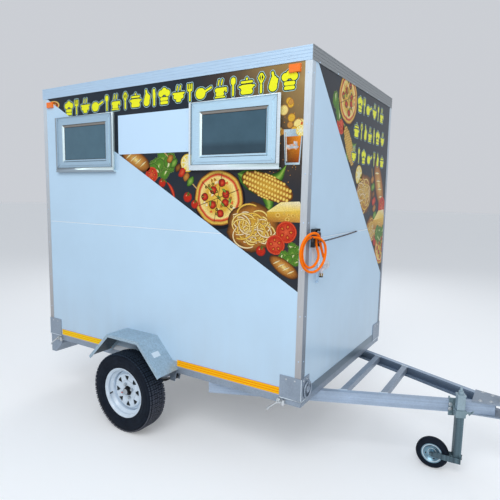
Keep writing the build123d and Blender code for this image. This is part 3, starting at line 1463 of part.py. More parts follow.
def hose_stretch(route):
    """A free length of hose along its route, with its bends and volume printed."""
    radii = corner_radii(route)
    path = FilletPolyline(*route, radius=radii)
    plane = Plane(origin=route[0], z_dir=Vector(*route[1]) - Vector(*route[0]))
    tube = sweep(plane * Circle(HOSE_RADIUS), path=path)
    expected = math.pi * HOSE_RADIUS ** 2 * path.length
    print("hose stretch", round(path.length, 1), "radii", [round(r, 1) for r in radii])
    print("hose volume over section times length", round(tube.volume / expected, 4))
    return tube


def hose_tube():
    return [hose_stretch(inlet_route()), hose_stretch(tail_route())]


def hose_coil():
    """The closed outer shape of the hose's two turns."""
    ring = Cylinder(COIL_RADIUS, COIL_THICKNESS)
    ring -= Pos(COIL_HOLE_SHIFT, 0, 0) * Cylinder(COIL_HOLE_RADIUS, COIL_THICKNESS + 2)
    return [coil_frame() * ring]


def gas_pipe():
    """Gas pipe up the front wall and into the tray, with a collar where the hose starts."""
    outlet = coil_point(*OUTLET_PLACE)
    x = HALF_LENGTH + PIPE_AHEAD
    y = PIPE_FROM_SIDE - HALF_WIDTH
    low, high = (FLOOR_Z + up for up in PIPE_UP)
    over = (outlet[0], outlet[1], high)
    corners = ((HALF_LENGTH, y, low), (x, y, low), (x, y, high), over, outlet)
    clip = [FLOOR_Z + up for up in PIPE_CLIP_UP]
    path = FilletPolyline(*corners, radius=list(PIPE_BENDS))
    start = Plane(origin=corners[0], x_dir=(0, 1, 0), z_dir=(1, 0, 0))
    pipe = sweep(start * Circle(PIPE_RADIUS), path=path)
    pipe += slab((HALF_LENGTH, x), (y - PIPE_CLIP_HALF, y + PIPE_CLIP_HALF), clip)
    pipe += rod((outlet[0], outlet[1], high - PIPE_BENDS[-1]), outlet, OUTLET_RADIUS)
    return [pipe]


def gas_regulator():
    """Round regulator on the hose's end, with the brass nut for a gas bottle."""
    route = tail_route()
    end = Vector(*route[-1])
    way = (end - Vector(*route[-2])).normalized()
    body = rod(tuple(end), tuple(end + way * 12), HOSE_RADIUS)
    middle = coil_point(*REGULATOR_PLACE)
    disc = Plane(origin=middle, z_dir=coil_frame().z_dir) * Cylinder(REGULATOR_RADIUS, REGULATOR_THICKNESS)
    body += chamfer(disc.edges().filter_by(GeomType.CIRCLE), 4)
    elbow = coil_point(*ELBOW_PLACE)
    foot = (elbow[0], elbow[1], elbow[2] - 34)
    body += rod(middle, elbow, ELBOW_RADIUS)
    body += Pos(*elbow) * Sphere(ELBOW_RADIUS)
    body += rod(elbow, foot, ELBOW_RADIUS)
    nut = Plane(origin=(elbow[0], elbow[1], elbow[2] - 26), z_dir=(0, 0, 1))
    body += nut * extrude(RegularPolygon(BOTTLE_NUT_RADIUS, 6), amount=14)
    return [body]


NODES = {
    "side_rails": side_rails,
    "cross_members": cross_members,
    "drawbar_arms": drawbar_arms,
    "drawbar_struts": drawbar_struts,
    "hitch_plates": hitch_plates,
    "coupler_body": coupler_body,
    "coupler_lever": coupler_lever,
    "jockey_clamp": jockey_clamp,
    "jockey_tube": jockey_tube,
    "jockey_fork": jockey_fork,
    "jockey_rim": jockey_rim,
    "jockey_tyre": jockey_tyre,
    "axle_beam": axle_beam,
    "leaf_springs": leaf_springs,
    "spring_hangers": spring_hangers,
    "axle_clamps": axle_clamps,
    "hub_right": lambda: wheel_hub(-1),
    "rim_right": lambda: wheel_rim(-1),
    "tyre_right": lambda: wheel_tyre(-1),
    "hub_left": lambda: wheel_hub(1),
    "rim_left": lambda: wheel_rim(1),
    "tyre_left": lambda: wheel_tyre(1),
    "mudguards": lambda: pair(mudguard()),
    "floor_panel": floor_panel,
    "roof_panel": roof_panel,
    "right_wall": right_wall,
    "left_wall": left_wall,
    "front_wall": front_wall,
    "rear_wall": rear_wall,
    "corner_trims": corner_trims,
    "roof_trim": roof_trim,
    "base_trims": base_trims,
    "corner_plates": corner_plates,
    "leg_clamps": leg_clamps,
    "tie_ring": tie_ring,
    "light_bar": light_bar,
    "tail_lamps": tail_lamps,
    "number_plate": number_plate,
    "side_markers": side_markers,
    "sign_panel": sign_panel,
    "window_frames": window_frames,
    "window_sashes": window_sashes,
    "window_glass": window_glass,
    "serving_hatch": serving_hatch,
    "hatch_frame": hatch_frame,
    "hatch_hinges": hatch_hinges,
    "strut_tubes": strut_tubes,
    "strut_rods": strut_rods,
    "strut_brackets": strut_brackets,
    "rear_door": rear_door,
    "door_hinges": door_hinges,
    "door_handle": door_handle,
    "worktop": worktop,
    "worktop_brackets": worktop_brackets,
    "gas_bracket": gas_bracket,
    "gas_pipe": gas_pipe,
    "gas_regulator": gas_regulator,
    "hose_tube": hose_tube,
    "hose_coil": hose_coil,
}


def solids_of(shapes):
    return [solid for shape in shapes for solid in shape.solids()]


def build():
    """All pieces by name, moved so that the origin is under the middle of the trailer."""
    pieces = {name: solids_of(make()) for name, make in NODES.items()}
    rigid = [solid for name, solids in pieces.items() if not name.startswith("hose") for solid in solids]
    box = Compound(rigid).bounding_box()
    shift = Pos(-(box.min.X + box.max.X) / 2, 0, 0)
    moved = {name: Compound([shift * solid for solid in solids]) for name, solids in pieces.items()}
    return moved, shift


os.makedirs("parts", exist_ok=True)
PIECES, SHIFT = build()
for node, shape in PIECES.items():
    export_step(shape, f"parts/{node}.step")
print("forward shift of the cabin's middle:", round(SHIFT.position.X, 3))
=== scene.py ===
import math
import random

import bmesh
import bpy
from mathutils import Matrix, Vector


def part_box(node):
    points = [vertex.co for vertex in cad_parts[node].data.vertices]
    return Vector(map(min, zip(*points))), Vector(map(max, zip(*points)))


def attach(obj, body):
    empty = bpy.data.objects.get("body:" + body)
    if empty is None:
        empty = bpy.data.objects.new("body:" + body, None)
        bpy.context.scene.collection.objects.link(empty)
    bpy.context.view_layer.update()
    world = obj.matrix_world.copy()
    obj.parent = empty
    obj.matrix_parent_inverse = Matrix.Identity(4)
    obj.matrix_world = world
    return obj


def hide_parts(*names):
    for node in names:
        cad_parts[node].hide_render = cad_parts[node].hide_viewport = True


bl_info = {
    "name": "Mobile kitchen trailer",
    "version": (1, 0, 0),
    "blender": (4, 5, 0),
    "location": "View3D > Sidebar > Trailer",
    "description": "Finishes and small pieces of a mobile kitchen trailer",
    "category": "Object",
}

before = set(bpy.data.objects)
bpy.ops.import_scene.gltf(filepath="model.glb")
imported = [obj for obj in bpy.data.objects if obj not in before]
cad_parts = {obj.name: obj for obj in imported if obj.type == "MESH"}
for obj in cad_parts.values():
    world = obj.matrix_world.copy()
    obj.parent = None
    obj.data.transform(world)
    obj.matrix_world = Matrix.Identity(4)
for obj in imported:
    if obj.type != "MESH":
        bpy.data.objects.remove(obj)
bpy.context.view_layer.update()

# Places that the pieces share, in metres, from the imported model
FLOOR_LOW, FLOOR_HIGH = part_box("floor_panel")
REAR_X, RIGHT_Y, FLOOR_Z = FLOOR_LOW
FRONT_X, LEFT_Y = FLOOR_HIGH[:2]
MID_X = (REAR_X + FRONT_X) / 2
TRIM_LOW_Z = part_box("roof_trim")[0].z
ROOF_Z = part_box("roof_trim")[1].z
TYRE_LOW, TYRE_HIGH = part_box("tyre_right")
WHEEL_X = (TYRE_LOW.x + TYRE_HIGH.x) / 2
WHEEL_Z = (TYRE_LOW.z + TYRE_HIGH.z) / 2
WHEEL_RADIUS = (TYRE_HIGH.z - TYRE_LOW.z) / 2
CLAMP_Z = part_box("jockey_clamp")[0].z + 0.023


def at(along, across, up):
    """A point from its distance ahead of the cabin's middle, to the left, and over the ground."""
    return Vector((MID_X + along, across, up))


# Sizes and colours that a user may change


def size_choice(name, text, default):
    return bpy.props.FloatProperty(name=name, description=text, default=default, unit="LENGTH")


def colour_choice(name, text, default):
    return bpy.props.FloatVectorProperty(
        name=name, description=text, subtype="COLOR", size=4, default=(*default, 1.0)
    )


class TrailerSizes(bpy.types.PropertyGroup):
    """Sizes of the small pieces."""

    rivet: size_choice("Rivet radius", "Radius of a rivet's head", 0.0042)
    rivet_pitch: size_choice("Rivet pitch", "Distance between rivets", 0.3)
    screw: size_choice("Screw radius", "Radius of a screw's head", 0.0055)
    bolt: size_choice("Bolt radius", "Radius of a bolt's head", 0.009)
    link: size_choice("Chain link", "Length of a link of the chain", 0.021)
    hose: size_choice("Hose diameter", "Outer diameter of the gas hose", 0.015)
    tape: size_choice("Tape height", "Height of the reflective tape", 0.046)
    tread_count: bpy.props.IntProperty(
        name="Tread blocks", description="Blocks round the tyre in each row", default=54
    )


class TrailerColours(bpy.types.PropertyGroup):
    """Colours of the finishes."""

    sheet: colour_choice("Sheet", "White sheet of the cabin", (0.54, 0.735, 0.91))
    hose: colour_choice("Hose", "Gas hose", (1.0, 0.19, 0.0))
    tape_rear: colour_choice("Rear tape", "Tape behind the wheel", (0.98, 0.76, 0.0))
    tape_front: colour_choice("Front tape", "Tape ahead of the wheel", (1.0, 0.56, 0.0))
    motif: colour_choice("Pictograms", "Kitchen pictograms on the printed film", (0.86, 0.86, 0.02))


def sizes():
    return bpy.context.scene.trailer_sizes


def colour_of(name):
    """A user's colour, without its alpha."""
    return tuple(getattr(bpy.context.scene.trailer_colours, name))[:3]


# Node trees


def put(tree, socket, value):
    """Feed a socket from another one, or set its value."""
    if isinstance(value, bpy.types.NodeSocket):
        tree.links.new(value, socket)
    else:
        socket.default_value = value


def node(tree, kind, inputs=None, **settings):
    """A node with its settings and its inputs, each a value or the socket that feeds it."""
    made = tree.nodes.new(kind)
    for key, value in settings.items():
        setattr(made, key, value)
    for key, value in (inputs or {}).items():
        put(tree, made.inputs[key], value)
    return made


def calc(tree, operation, first, second):
    """The result of an operation on two numbers."""
    return node(tree, "ShaderNodeMath", {0: first, 1: second}, operation=operation).outputs["Value"]


def span(tree, value, low, high, to_low=0.0, to_high=1.0):
    """The value carried from one range to another, and held inside it."""
    ends = {"Value": value, "From Min": low, "From Max": high, "To Min": to_low, "To Max": to_high}
    return node(tree, "ShaderNodeMapRange", ends).outputs["Result"]


def axes(tree, source="Object"):
    """The X, Y and Z of a point of the piece, or of its Normal."""
    place = node(tree, "ShaderNodeTexCoord").outputs[source]
    return node(tree, "ShaderNodeSeparateXYZ", {"Vector": place}).outputs


def noise(tree, scale, detail=4.0, stretch=(1.0, 1.0, 1.0), rough=0.55):
    """Noise over the piece, drawn out by the stretch of its coordinates."""
    place = node(tree, "ShaderNodeTexCoord").outputs["Object"]
    mapping = node(tree, "ShaderNodeMapping", {"Vector": place, "Scale": stretch})
    inputs = {"Vector": mapping.outputs["Vector"], "Scale": scale, "Detail": detail, "Roughness": rough}
    return node(tree, "ShaderNodeTexNoise", inputs).outputs["Fac"]


def ramp(tree, factor, *stops):
    """Colour that runs through the stops as the factor grows."""
    made = node(tree, "ShaderNodeValToRGB", {"Fac": factor})
    elements = made.color_ramp.elements
    while len(elements) < len(stops):
        elements.new(0.5)
    for element, (place, colour) in zip(elements, stops):
        element.position = place
        element.color = (*colour, 1.0)
    return made.outputs["Color"]


def grey(value):
    return (value, value, value)


def shade(colour, factor):
    return tuple(min(1.0, channel * factor) for channel in colour)


def mix(tree, factor, first, second, blend="MIX"):
    """One colour over another, by a factor."""
    made = node(tree, "ShaderNodeMix", data_type="RGBA", blend_type=blend)
    put(tree, made.inputs[0], factor)
    for index, colour in ((6, first), (7, second)):
        put(tree, made.inputs[index], (*colour, 1.0) if isinstance(colour, tuple) else colour)
    return made.outputs[2]


def times(tree, first, second):
    """One colour multiplied by another."""
    return mix(tree, 1.0, first, second, "MULTIPLY")


# Finishes


def finish(name, colour, roughness, metallic=0.0, **more):
    """A plain material with its constant values on the shader's own sockets."""
    material = bpy.data.materials.new(name)
    material.use_nodes = True
    material.diffuse_color = (*colour, 1.0)
    shader = material.node_tree.nodes["Principled BSDF"]
    values = {"Base Color": (*colour, 1.0), "Roughness": roughness, "Metallic": metallic}
    values.update({key.replace("_", " "): value for key, value in more.items()})
    for key, value in values.items():
        shader.inputs[key].default_value = value
    return material


def wire(material, output, socket="Base Color"):
    """Feed a socket of the material's shader."""
    tree = material.node_tree
    tree.links.new(output, tree.nodes["Principled BSDF"].inputs[socket])
    return material


def coat_of(material):
    """What feeds the material's base colour."""
    return material.node_tree.nodes["Principled BSDF"].inputs["Base Color"].links[0].from_socket


def bumped(material, height, strength=0.05, distance=0.001):
    inputs = {"Height": height, "Strength": strength, "Distance": distance}
    return wire(material, node(material.node_tree, "ShaderNodeBump", inputs).outputs["Normal"], "Normal")


def white_sheet():
    """Painted sheet with a slow waviness and faint dust towards its foot."""
    colour = colour_of("sheet")
    material = finish("white_sheet", colour, 0.26)
    tree = material.node_tree
    cloud = noise(tree, 2.2, 3.0, rough=0.6)
    bare_coat = ramp(tree, cloud, (0.3, shade(colour, 0.965)), (0.7, shade(colour, 1.02)))
    low = span(tree, axes(tree)["Z"], FLOOR_Z, FLOOR_Z + 0.55, 0.5, 0.0)
    dust = calc(tree, "MULTIPLY", low, noise(tree, 9.0, 5.0, (1.0, 1.0, 0.12)))
    wire(material, mix(tree, dust, bare_coat, (0.45, 0.495, 0.54)))
    return bumped(material, noise(tree, 3.0, 2.0), 0.08, 0.004)


def galvanised(name, colour, metallic=0.5, spread=0.06, scale=130.0):
    """Hot-dipped zinc whose crystals differ in shade and gloss."""
    material = finish(name, colour, 0.45, metallic)
    tree = material.node_tree
    place = node(tree, "ShaderNodeTexCoord").outputs["Object"]
    cells = node(tree, "ShaderNodeTexVoronoi", {"Vector": place, "Scale": scale}).outputs["Color"]
    key = node(tree, "ShaderNodeSeparateColor", {"Color": cells}).outputs
    crystals = ramp(tree, key["Red"], (0.0, shade(colour, 1.0 - spread)), (1.0, shade(colour, 1.0 + spread)))
    cloud = ramp(tree, noise(tree, 7.0), (0.3, grey(0.88)), (0.75, grey(1.04)))
    wire(material, times(tree, crystals, cloud))
    wire(material, span(tree, key["Green"], 0.0, 1.0, 0.38, 0.52), "Roughness")
    return bumped(material, noise(tree, 160.0, 2.0))


def drawn_metal(name, colour, roughness, metallic=0.85, along=(1.0, 60.0, 60.0)):
    """Metal with fine lines along one direction."""
    material = finish(name, colour, roughness, metallic)
    tree = material.node_tree
    lines = noise(tree, 14.0, 3.0, along)
    wire(material, ramp(tree, lines, (0.3, shade(colour, 0.88)), (0.7, shade(colour, 1.06))))
    wire(material, span(tree, lines, 0.0, 1.0, roughness - 0.06, roughness + 0.1), "Roughness")
    return bumped(material, lines)


def worn_paint(name, colour, roughness, metallic=0.0, scale=20.0, **more):
    """Paint or plating with a little clouding."""
    material = finish(name, colour, roughness, metallic, **more)
    tree = material.node_tree
    cloud = noise(tree, scale, 5.0)
    wire(material, ramp(tree, cloud, (0.3, shade(colour, 0.86)), (0.7, shade(colour, 1.08))))
    return bumped(material, cloud)


def hub_finish():
    """Bright grease cap and wheel nuts, with a dark ring of painted shade between them where the hub stands
    in the rim's hole.
    """
    material = finish("hub", (0.44, 0.47, 0.5), 0.36, 0.6)
    tree = material.node_tree
    flat = node(tree, "ShaderNodeTexCoord").outputs["Object"]
    for second, operation in (((WHEEL_X, 0.0, WHEEL_Z), "SUBTRACT"), ((1.0, 0.0, 1.0), "MULTIPLY")):
        flat = node(tree, "ShaderNodeVectorMath", {0: flat, 1: second}, operation=operation).outputs["Vector"]
    radius = node(tree, "ShaderNodeVectorMath", {0: flat}, operation="LENGTH").outputs["Value"]
    share = span(tree, radius, 0.0, 0.1)
    bright = (0.42, 0.46, 0.5)
    # Painted shade: the dark ring of the rim's hole round the grease cap
    dark = (0.012, 0.013, 0.016)
    rings = ramp(tree, share, (0.0, bright), (0.215, bright), (0.222, dark), (0.385, dark), (0.39, bright))
    return wire(material, rings)


def window_metal(name, colour, rear_shade):
    """Drawn aluminium with painted light: painted shade at the rear window, brown painted shade on faces that
    look down, and a painted highlight on faces that look forwards.
    """
    material = drawn_metal(name, colour, 0.34, 0.4)
    tree = material.node_tree
    way = axes(tree, "Normal")
    front = calc(tree, "GREATER_THAN", axes(tree)["X"], MID_X)
    ahead = calc(tree, "GREATER_THAN", way["X"], 0.5)
    low = calc(tree, "LESS_THAN", way["Z"], -0.5)
    # Painted shade at the rear window
    plain = times(tree, coat_of(material), mix(tree, front, rear_shade, grey(1.0)))
    # Painted highlight on faces that look forwards, and brown painted shade on faces that look down
    return wire(material, mix(tree, low, mix(tree, ahead, plain, (0.72, 0.86, 0.88)), (0.3, 0.27, 0.24)))


def tinted_glass():
    """Dark glass with painted reflections: a shade lighter at the rear window, with a darker band low on the
    front one.
    """
    material = finish("tinted_glass", (0.046, 0.105, 0.155), 0.09)
    tree = material.node_tree
    spot = axes(tree)
    front = calc(tree, "GREATER_THAN", spot["X"], MID_X)
    # Painted reflection: a darker band low on the front window
    band = calc(tree, "MULTIPLY", span(tree, spot["Z"], 2.055, 2.02), front)
    cloud = noise(tree, 9.0, 5.0, rough=0.65)
    # Painted reflections, lighter at the rear window than at the front one
    rear = ramp(tree, cloud, (0.3, (0.058, 0.13, 0.18)), (0.7, (0.07, 0.152, 0.205)))
    ahead = ramp(tree, cloud, (0.3, (0.036, 0.088, 0.125)), (0.7, (0.046, 0.105, 0.148)))
    dark = times(tree, ahead, (0.5, 0.55, 0.58))
    return wire(material, mix(tree, band, mix(tree, front, rear, ahead), dark))


def pipe_paint():
    """White pipe, with the painted shadow of its bracket at the top and painted shade in blue-grey towards
    its foot.
    """
    white = (0.92, 0.93, 1.0)
    material = finish("pipe_paint", white, 0.4)
    tree = material.node_tree
    up = span(tree, axes(tree)["Z"], 1.2, 1.5)
    # Painted shade: blue-grey towards the foot, and the dark shadow of the bracket at the top
    low = (0.51, 0.69, 0.86)
    dark = (0.1, 0.07, 0.08)
    stops = ((0.0, low), (0.22, low), (0.34, white), (0.8, white), (0.88, dark), (1.0, dark))
    return wire(material, ramp(tree, up, *stops))


def leg_zinc():
    """Zinc of the jockey leg, with painted shade under its clamp in vertical bands of painted light and
    shade.
    """
    material = galvanised("jockey_zinc", (0.36, 0.47, 0.53))
    tree = material.node_tree
    bare_coat = coat_of(material)
    # Painted shade below the clamp, in vertical bands that stand for the light and shade round the tube
    low = calc(tree, "LESS_THAN", axes(tree)["Z"], CLAMP_Z)
    shade_bands = noise(tree, 55.0, 2.0, (1.0, 1.0, 0.02))
    bands = ramp(tree, shade_bands, (0.35, (0.14, 0.17, 0.19)), (0.65, (0.33, 0.4, 0.42)))
    return wire(material, mix(tree, low, bare_coat, times(tree, bare_coat, bands)))


def guard_zinc():
    """Zinc of the mudguards, with painted shade on the faces that look down."""
    material = galvanised("guard_zinc", (0.375, 0.505, 0.605), 0.35, 0.12, 110.0)
    tree = material.node_tree
    bare_coat = coat_of(material)
    # Painted shade on the faces that look down
    low = calc(tree, "LESS_THAN", axes(tree, "Normal")["Z"], -0.2)
    return wire(material, mix(tree, low, bare_coat, times(tree, bare_coat, (0.22, 0.24, 0.25))))


def arm_zinc():
    """Zinc of the drawbar's arms, with painted light in bands along the profile for its ribs and grooves, and
    painted shade on its inner faces.
    """
    material = galvanised("arm_zinc", (0.42, 0.52, 0.66), 0.35, 0.04)
    tree = material.node_tree
    crystals = coat_of(material)
    # Painted light: bands along the profile for the highlights of the ribs and the shade of the grooves
    bands = ramp(tree, noise(tree, 16.0, 2.0, (0.03, 0.03, 3.0)), (0.35, grey(0.84)), (0.65, grey(1.06)))
    # Painted shade on the faces that look in towards the middle
    inward = calc(tree, "MULTIPLY", axes(tree)["Y"], axes(tree, "Normal")["Y"])
    inner = calc(tree, "LESS_THAN", inward, -0.03)
    shaded = mix(tree, inner, bands, times(tree, bands, (0.36, 0.4, 0.44)))
    return wire(material, times(tree, crystals, shaded))


def plain_run(colour):
    """Stops of a ramp that stays at one colour."""
    return ((0.0, colour), (1.0, colour))


def painted_reflections(material, side_stops, front_stops):
    """Painted reflections that run up the piece, one set on the front face and one everywhere else; the front
    face is darker for what it reflects.
    """
    tree = material.node_tree
    lines = coat_of(material)
    spot = axes(tree)
    up = span(tree, spot["Z"], FLOOR_Z, ROOF_Z)
    ahead = calc(tree, "GREATER_THAN", spot["X"], FRONT_X - 0.0004)
    # Painted reflections: colours by height, with a darker set on the front face
    tints = mix(tree, ahead, ramp(tree, up, *side_stops), ramp(tree, up, *front_stops))
    return wire(material, times(tree, lines, tints))


def tyre_rubber():
    """Black rubber, greyed by dust on the tread and in the sidewall's rings."""
    material = finish("tyre_rubber", (0.006, 0.01, 0.019), 0.7, Specular_IOR_Level=0.15)
    tree = material.node_tree
    dust = noise(tree, 26.0, 6.0, rough=0.7)
    wire(material, ramp(tree, dust, (0.35, (0.003, 0.006, 0.013)), (0.75, (0.01, 0.016, 0.028))))
    return bumped(material, noise(tree, 220.0, 2.0), 0.12)


def tread_rubber():
    """Rubber of the tread blocks, dusty towards the ground, with the painted shade of the mudguard on the
    upper tread.
    """
    material = worn_paint("tread_rubber", (0.106, 0.136, 0.186), 0.85, scale=90.0, Specular_IOR_Level=0.15)
    tree = material.node_tree
    plain = coat_of(material)
    up = span(tree, axes(tree)["Z"], 0.0, 2 * WHEEL_RADIUS)
    # Lighter and dusty low down, and dark blue painted shade of the mudguard on the upper tread
    tint = ramp(tree, up, (0.3, (1.0, 0.82, 0.72)), (0.55, (0.62, 0.56, 0.56)), (0.8, (0.21, 0.27, 0.32)))
    return wire(material, times(tree, plain, tint))


def tread_plate():
    """Floor sheet with raised lozenges in two directions."""
    material = finish("tread_plate", (0.5, 0.52, 0.54), 0.4, 0.8)
    tree = material.node_tree
    place = node(tree, "ShaderNodeTexCoord").outputs["Object"]
    heights = []
    for turn in (math.radians(45), math.radians(-45)):
        inputs = {"Vector": place, "Rotation": (0.0, 0.0, turn), "Scale": (28.0, 55.0, 1.0)}
        mapping = node(tree, "ShaderNodeMapping", inputs).outputs["Vector"]
        heights.append(node(tree, "ShaderNodeTexChecker", {"Vector": mapping, "Scale": 1.0}).outputs["Fac"])
    return bumped(material, calc(tree, "MULTIPLY", *heights), 0.4, 0.0015)


def printed():
    """Printed film that takes its colours from the mesh, with fine mottling."""
    material = finish("printed_film", grey(0.5), 0.3, Specular_IOR_Level=0.2)
    tree = material.node_tree
    tint = node(tree, "ShaderNodeAttribute", attribute_name="tint").outputs
    mottle = ramp(tree, noise(tree, 150.0, rough=0.7), (0.3, grey(0.62)), (0.72, grey(1.15)))
    return wire(material, mix(tree, tint["Alpha"], tint["Color"], times(tree, tint["Color"], mottle)))


def film_ground():
    """Printed ground of the film: charcoal that warms to golden brown at the front corner."""
    material = finish("film_ground", (0.05, 0.05, 0.06), 0.3, Specular_IOR_Level=0.2)
    tree = material.node_tree
    spot = axes(tree)
    along = span(tree, spot["X"], MID_X + 0.3, FRONT_X, 0.0, 0.62)
    up = span(tree, spot["Z"], 1.75, TRIM_LOW_Z, 0.1, 1.0)
    side = span(tree, spot["Y"], RIGHT_Y + 0.02, RIGHT_Y + 0.05, 1.0, 0.0)
    warm = calc(tree, "MULTIPLY", calc(tree, "MULTIPLY", along, up), side)
    sway = span(tree, noise(tree, 3.5), 0.0, 1.0, -0.12, 0.12)
    stops = (
        (0.0, (0.016, 0.024, 0.036)), (0.22, (0.055, 0.04, 0.032)),
        (0.48, (0.3, 0.19, 0.07)), (0.66, (0.6, 0.44, 0.2)),
    )
    return wire(material, ramp(tree, calc(tree, "ADD", warm, sway), *stops))


MATERIALS = {}


def make_finishes():
    """All finishes, made once before the pieces."""
    made = {
        "sheet": white_sheet(),
        "galvanised": galvanised("galvanised", (0.31, 0.37, 0.45)),
        "guard_zinc": guard_zinc(),
        "jockey_zinc": leg_zinc(),
        "clamp_zinc": galvanised("clamp_zinc", (0.24, 0.33, 0.37), 0.55),
        "jockey_steel": worn_paint("jockey_steel", (0.2, 0.34, 0.43), 0.3, 0.7),
        "arm_zinc": arm_zinc(),
        "aluminium": drawn_metal("aluminium", (0.55, 0.73, 0.93), 0.36, 0.45),
        # The trims below take painted reflections, by height and on their front faces
        "roof_aluminium": painted_reflections(
            drawn_metal("roof_aluminium", (0.57, 0.76, 0.96), 0.36, 0.45),
            plain_run(grey(1.0)), plain_run((0.52, 0.42, 0.35)),
        ),
        "upright_aluminium": painted_reflections(
            drawn_metal("upright_aluminium", (0.9, 0.92, 0.95), 0.36, 0.6, (60.0, 60.0, 1.0)),
            ((0.0, (0.42, 0.4, 0.4)), (0.2, (0.58, 0.56, 0.55)), (0.9, (0.82, 0.89, 0.93))),
            ((0.05, (0.25, 0.29, 0.34)), (0.5, (0.34, 0.38, 0.43)), (0.9, (0.69, 0.78, 0.84))),
        ),
        "foot_aluminium": painted_reflections(
            drawn_metal("foot_aluminium", (0.46, 0.53, 0.6), 0.36, 0.6),
            plain_run(grey(1.0)), plain_run((0.42, 0.48, 0.52)),
        ),
        "window_aluminium": window_metal("window_aluminium", (0.56, 0.79, 0.97), (0.76, 0.76, 0.78)),
        "sill": window_metal("sill", (0.78, 0.88, 0.94), (0.44, 0.48, 0.52)),
        "zinc": worn_paint("zinc", (0.62, 0.65, 0.67), 0.34, 0.85),
        "dark_steel": worn_paint("dark_steel", (0.025, 0.027, 0.032), 0.45),
        "stainless": drawn_metal("stainless", (0.58, 0.6, 0.62), 0.28),
        "rim_white": worn_paint("rim_white", (0.66, 0.76, 0.86), 0.25, Coat_Weight=0.4),
        "hub": hub_finish(),
        # A dark finish for the painted shade behind the wheels' vents
        "drum": worn_paint("drum_paint", (0.045, 0.055, 0.06), 0.6),
        "rubber": tyre_rubber(),
        "tread": tread_rubber(),
        "seal": finish("seal_rubber", (0.015, 0.016, 0.018), 0.6),
        "glass": tinted_glass(),
        "red_lens": finish("red_lens", (0.42, 0.008, 0.006), 0.12, Coat_Weight=0.6),
        "amber_lens": finish("amber_lens", (0.95, 0.2, 0.01), 0.14, Coat_Weight=0.6),
        "clear_lens": finish("clear_lens", (0.72, 0.74, 0.76), 0.1, Coat_Weight=0.6),
        "blank_sheet": finish("blank_sheet", (0.58, 0.78, 0.98), 0.3),
        "label": finish("label", (0.66, 0.76, 0.84), 0.4),
        "hose": finish("hose", colour_of("hose"), 0.5, Specular_IOR_Level=0.12),
        "regulator": worn_paint("regulator", (0.66, 0.68, 0.74), 0.38, 0.2, 60.0),
        "pipe": pipe_paint(),
        "chain": finish("chain_steel", (0.075, 0.055, 0.065), 0.45, 0.3),
        "weld": finish("weld", (0.72, 0.8, 0.86), 0.3, 0.6),
        # Painted shade inside the tie ring's recess
        "cup": finish("cup", (0.09, 0.12, 0.16), 0.5, 0.2),
        # Painted highlight along the panel seams
        "seam": finish("seam", (0.93, 0.96, 0.99), 0.3),
        "brass": worn_paint("brass", (0.36, 0.23, 0.07), 0.34, 0.75, 60.0),
        "black": finish("black_plastic", (0.018, 0.018, 0.02), 0.42),
        "floor": tread_plate(),
        "tape_rear": finish("tape_rear", colour_of("tape_rear"), 0.35, Specular_IOR_Level=0.15),
        "tape_front": finish("tape_front", colour_of("tape_front"), 0.35, Specular_IOR_Level=0.15),
        "tape_ground": finish("tape_ground", (1.0, 0.2, 0.0), 0.35, Specular_IOR_Level=0.15),
        "print": printed(),
        "film": film_ground(),
        "red": finish("red_paint", (0.6, 0.02, 0.015), 0.4),
    }
    MATERIALS.update(made)


# Meshes

MERGE = 0.00002
NEAR_AXIS = 0.00001


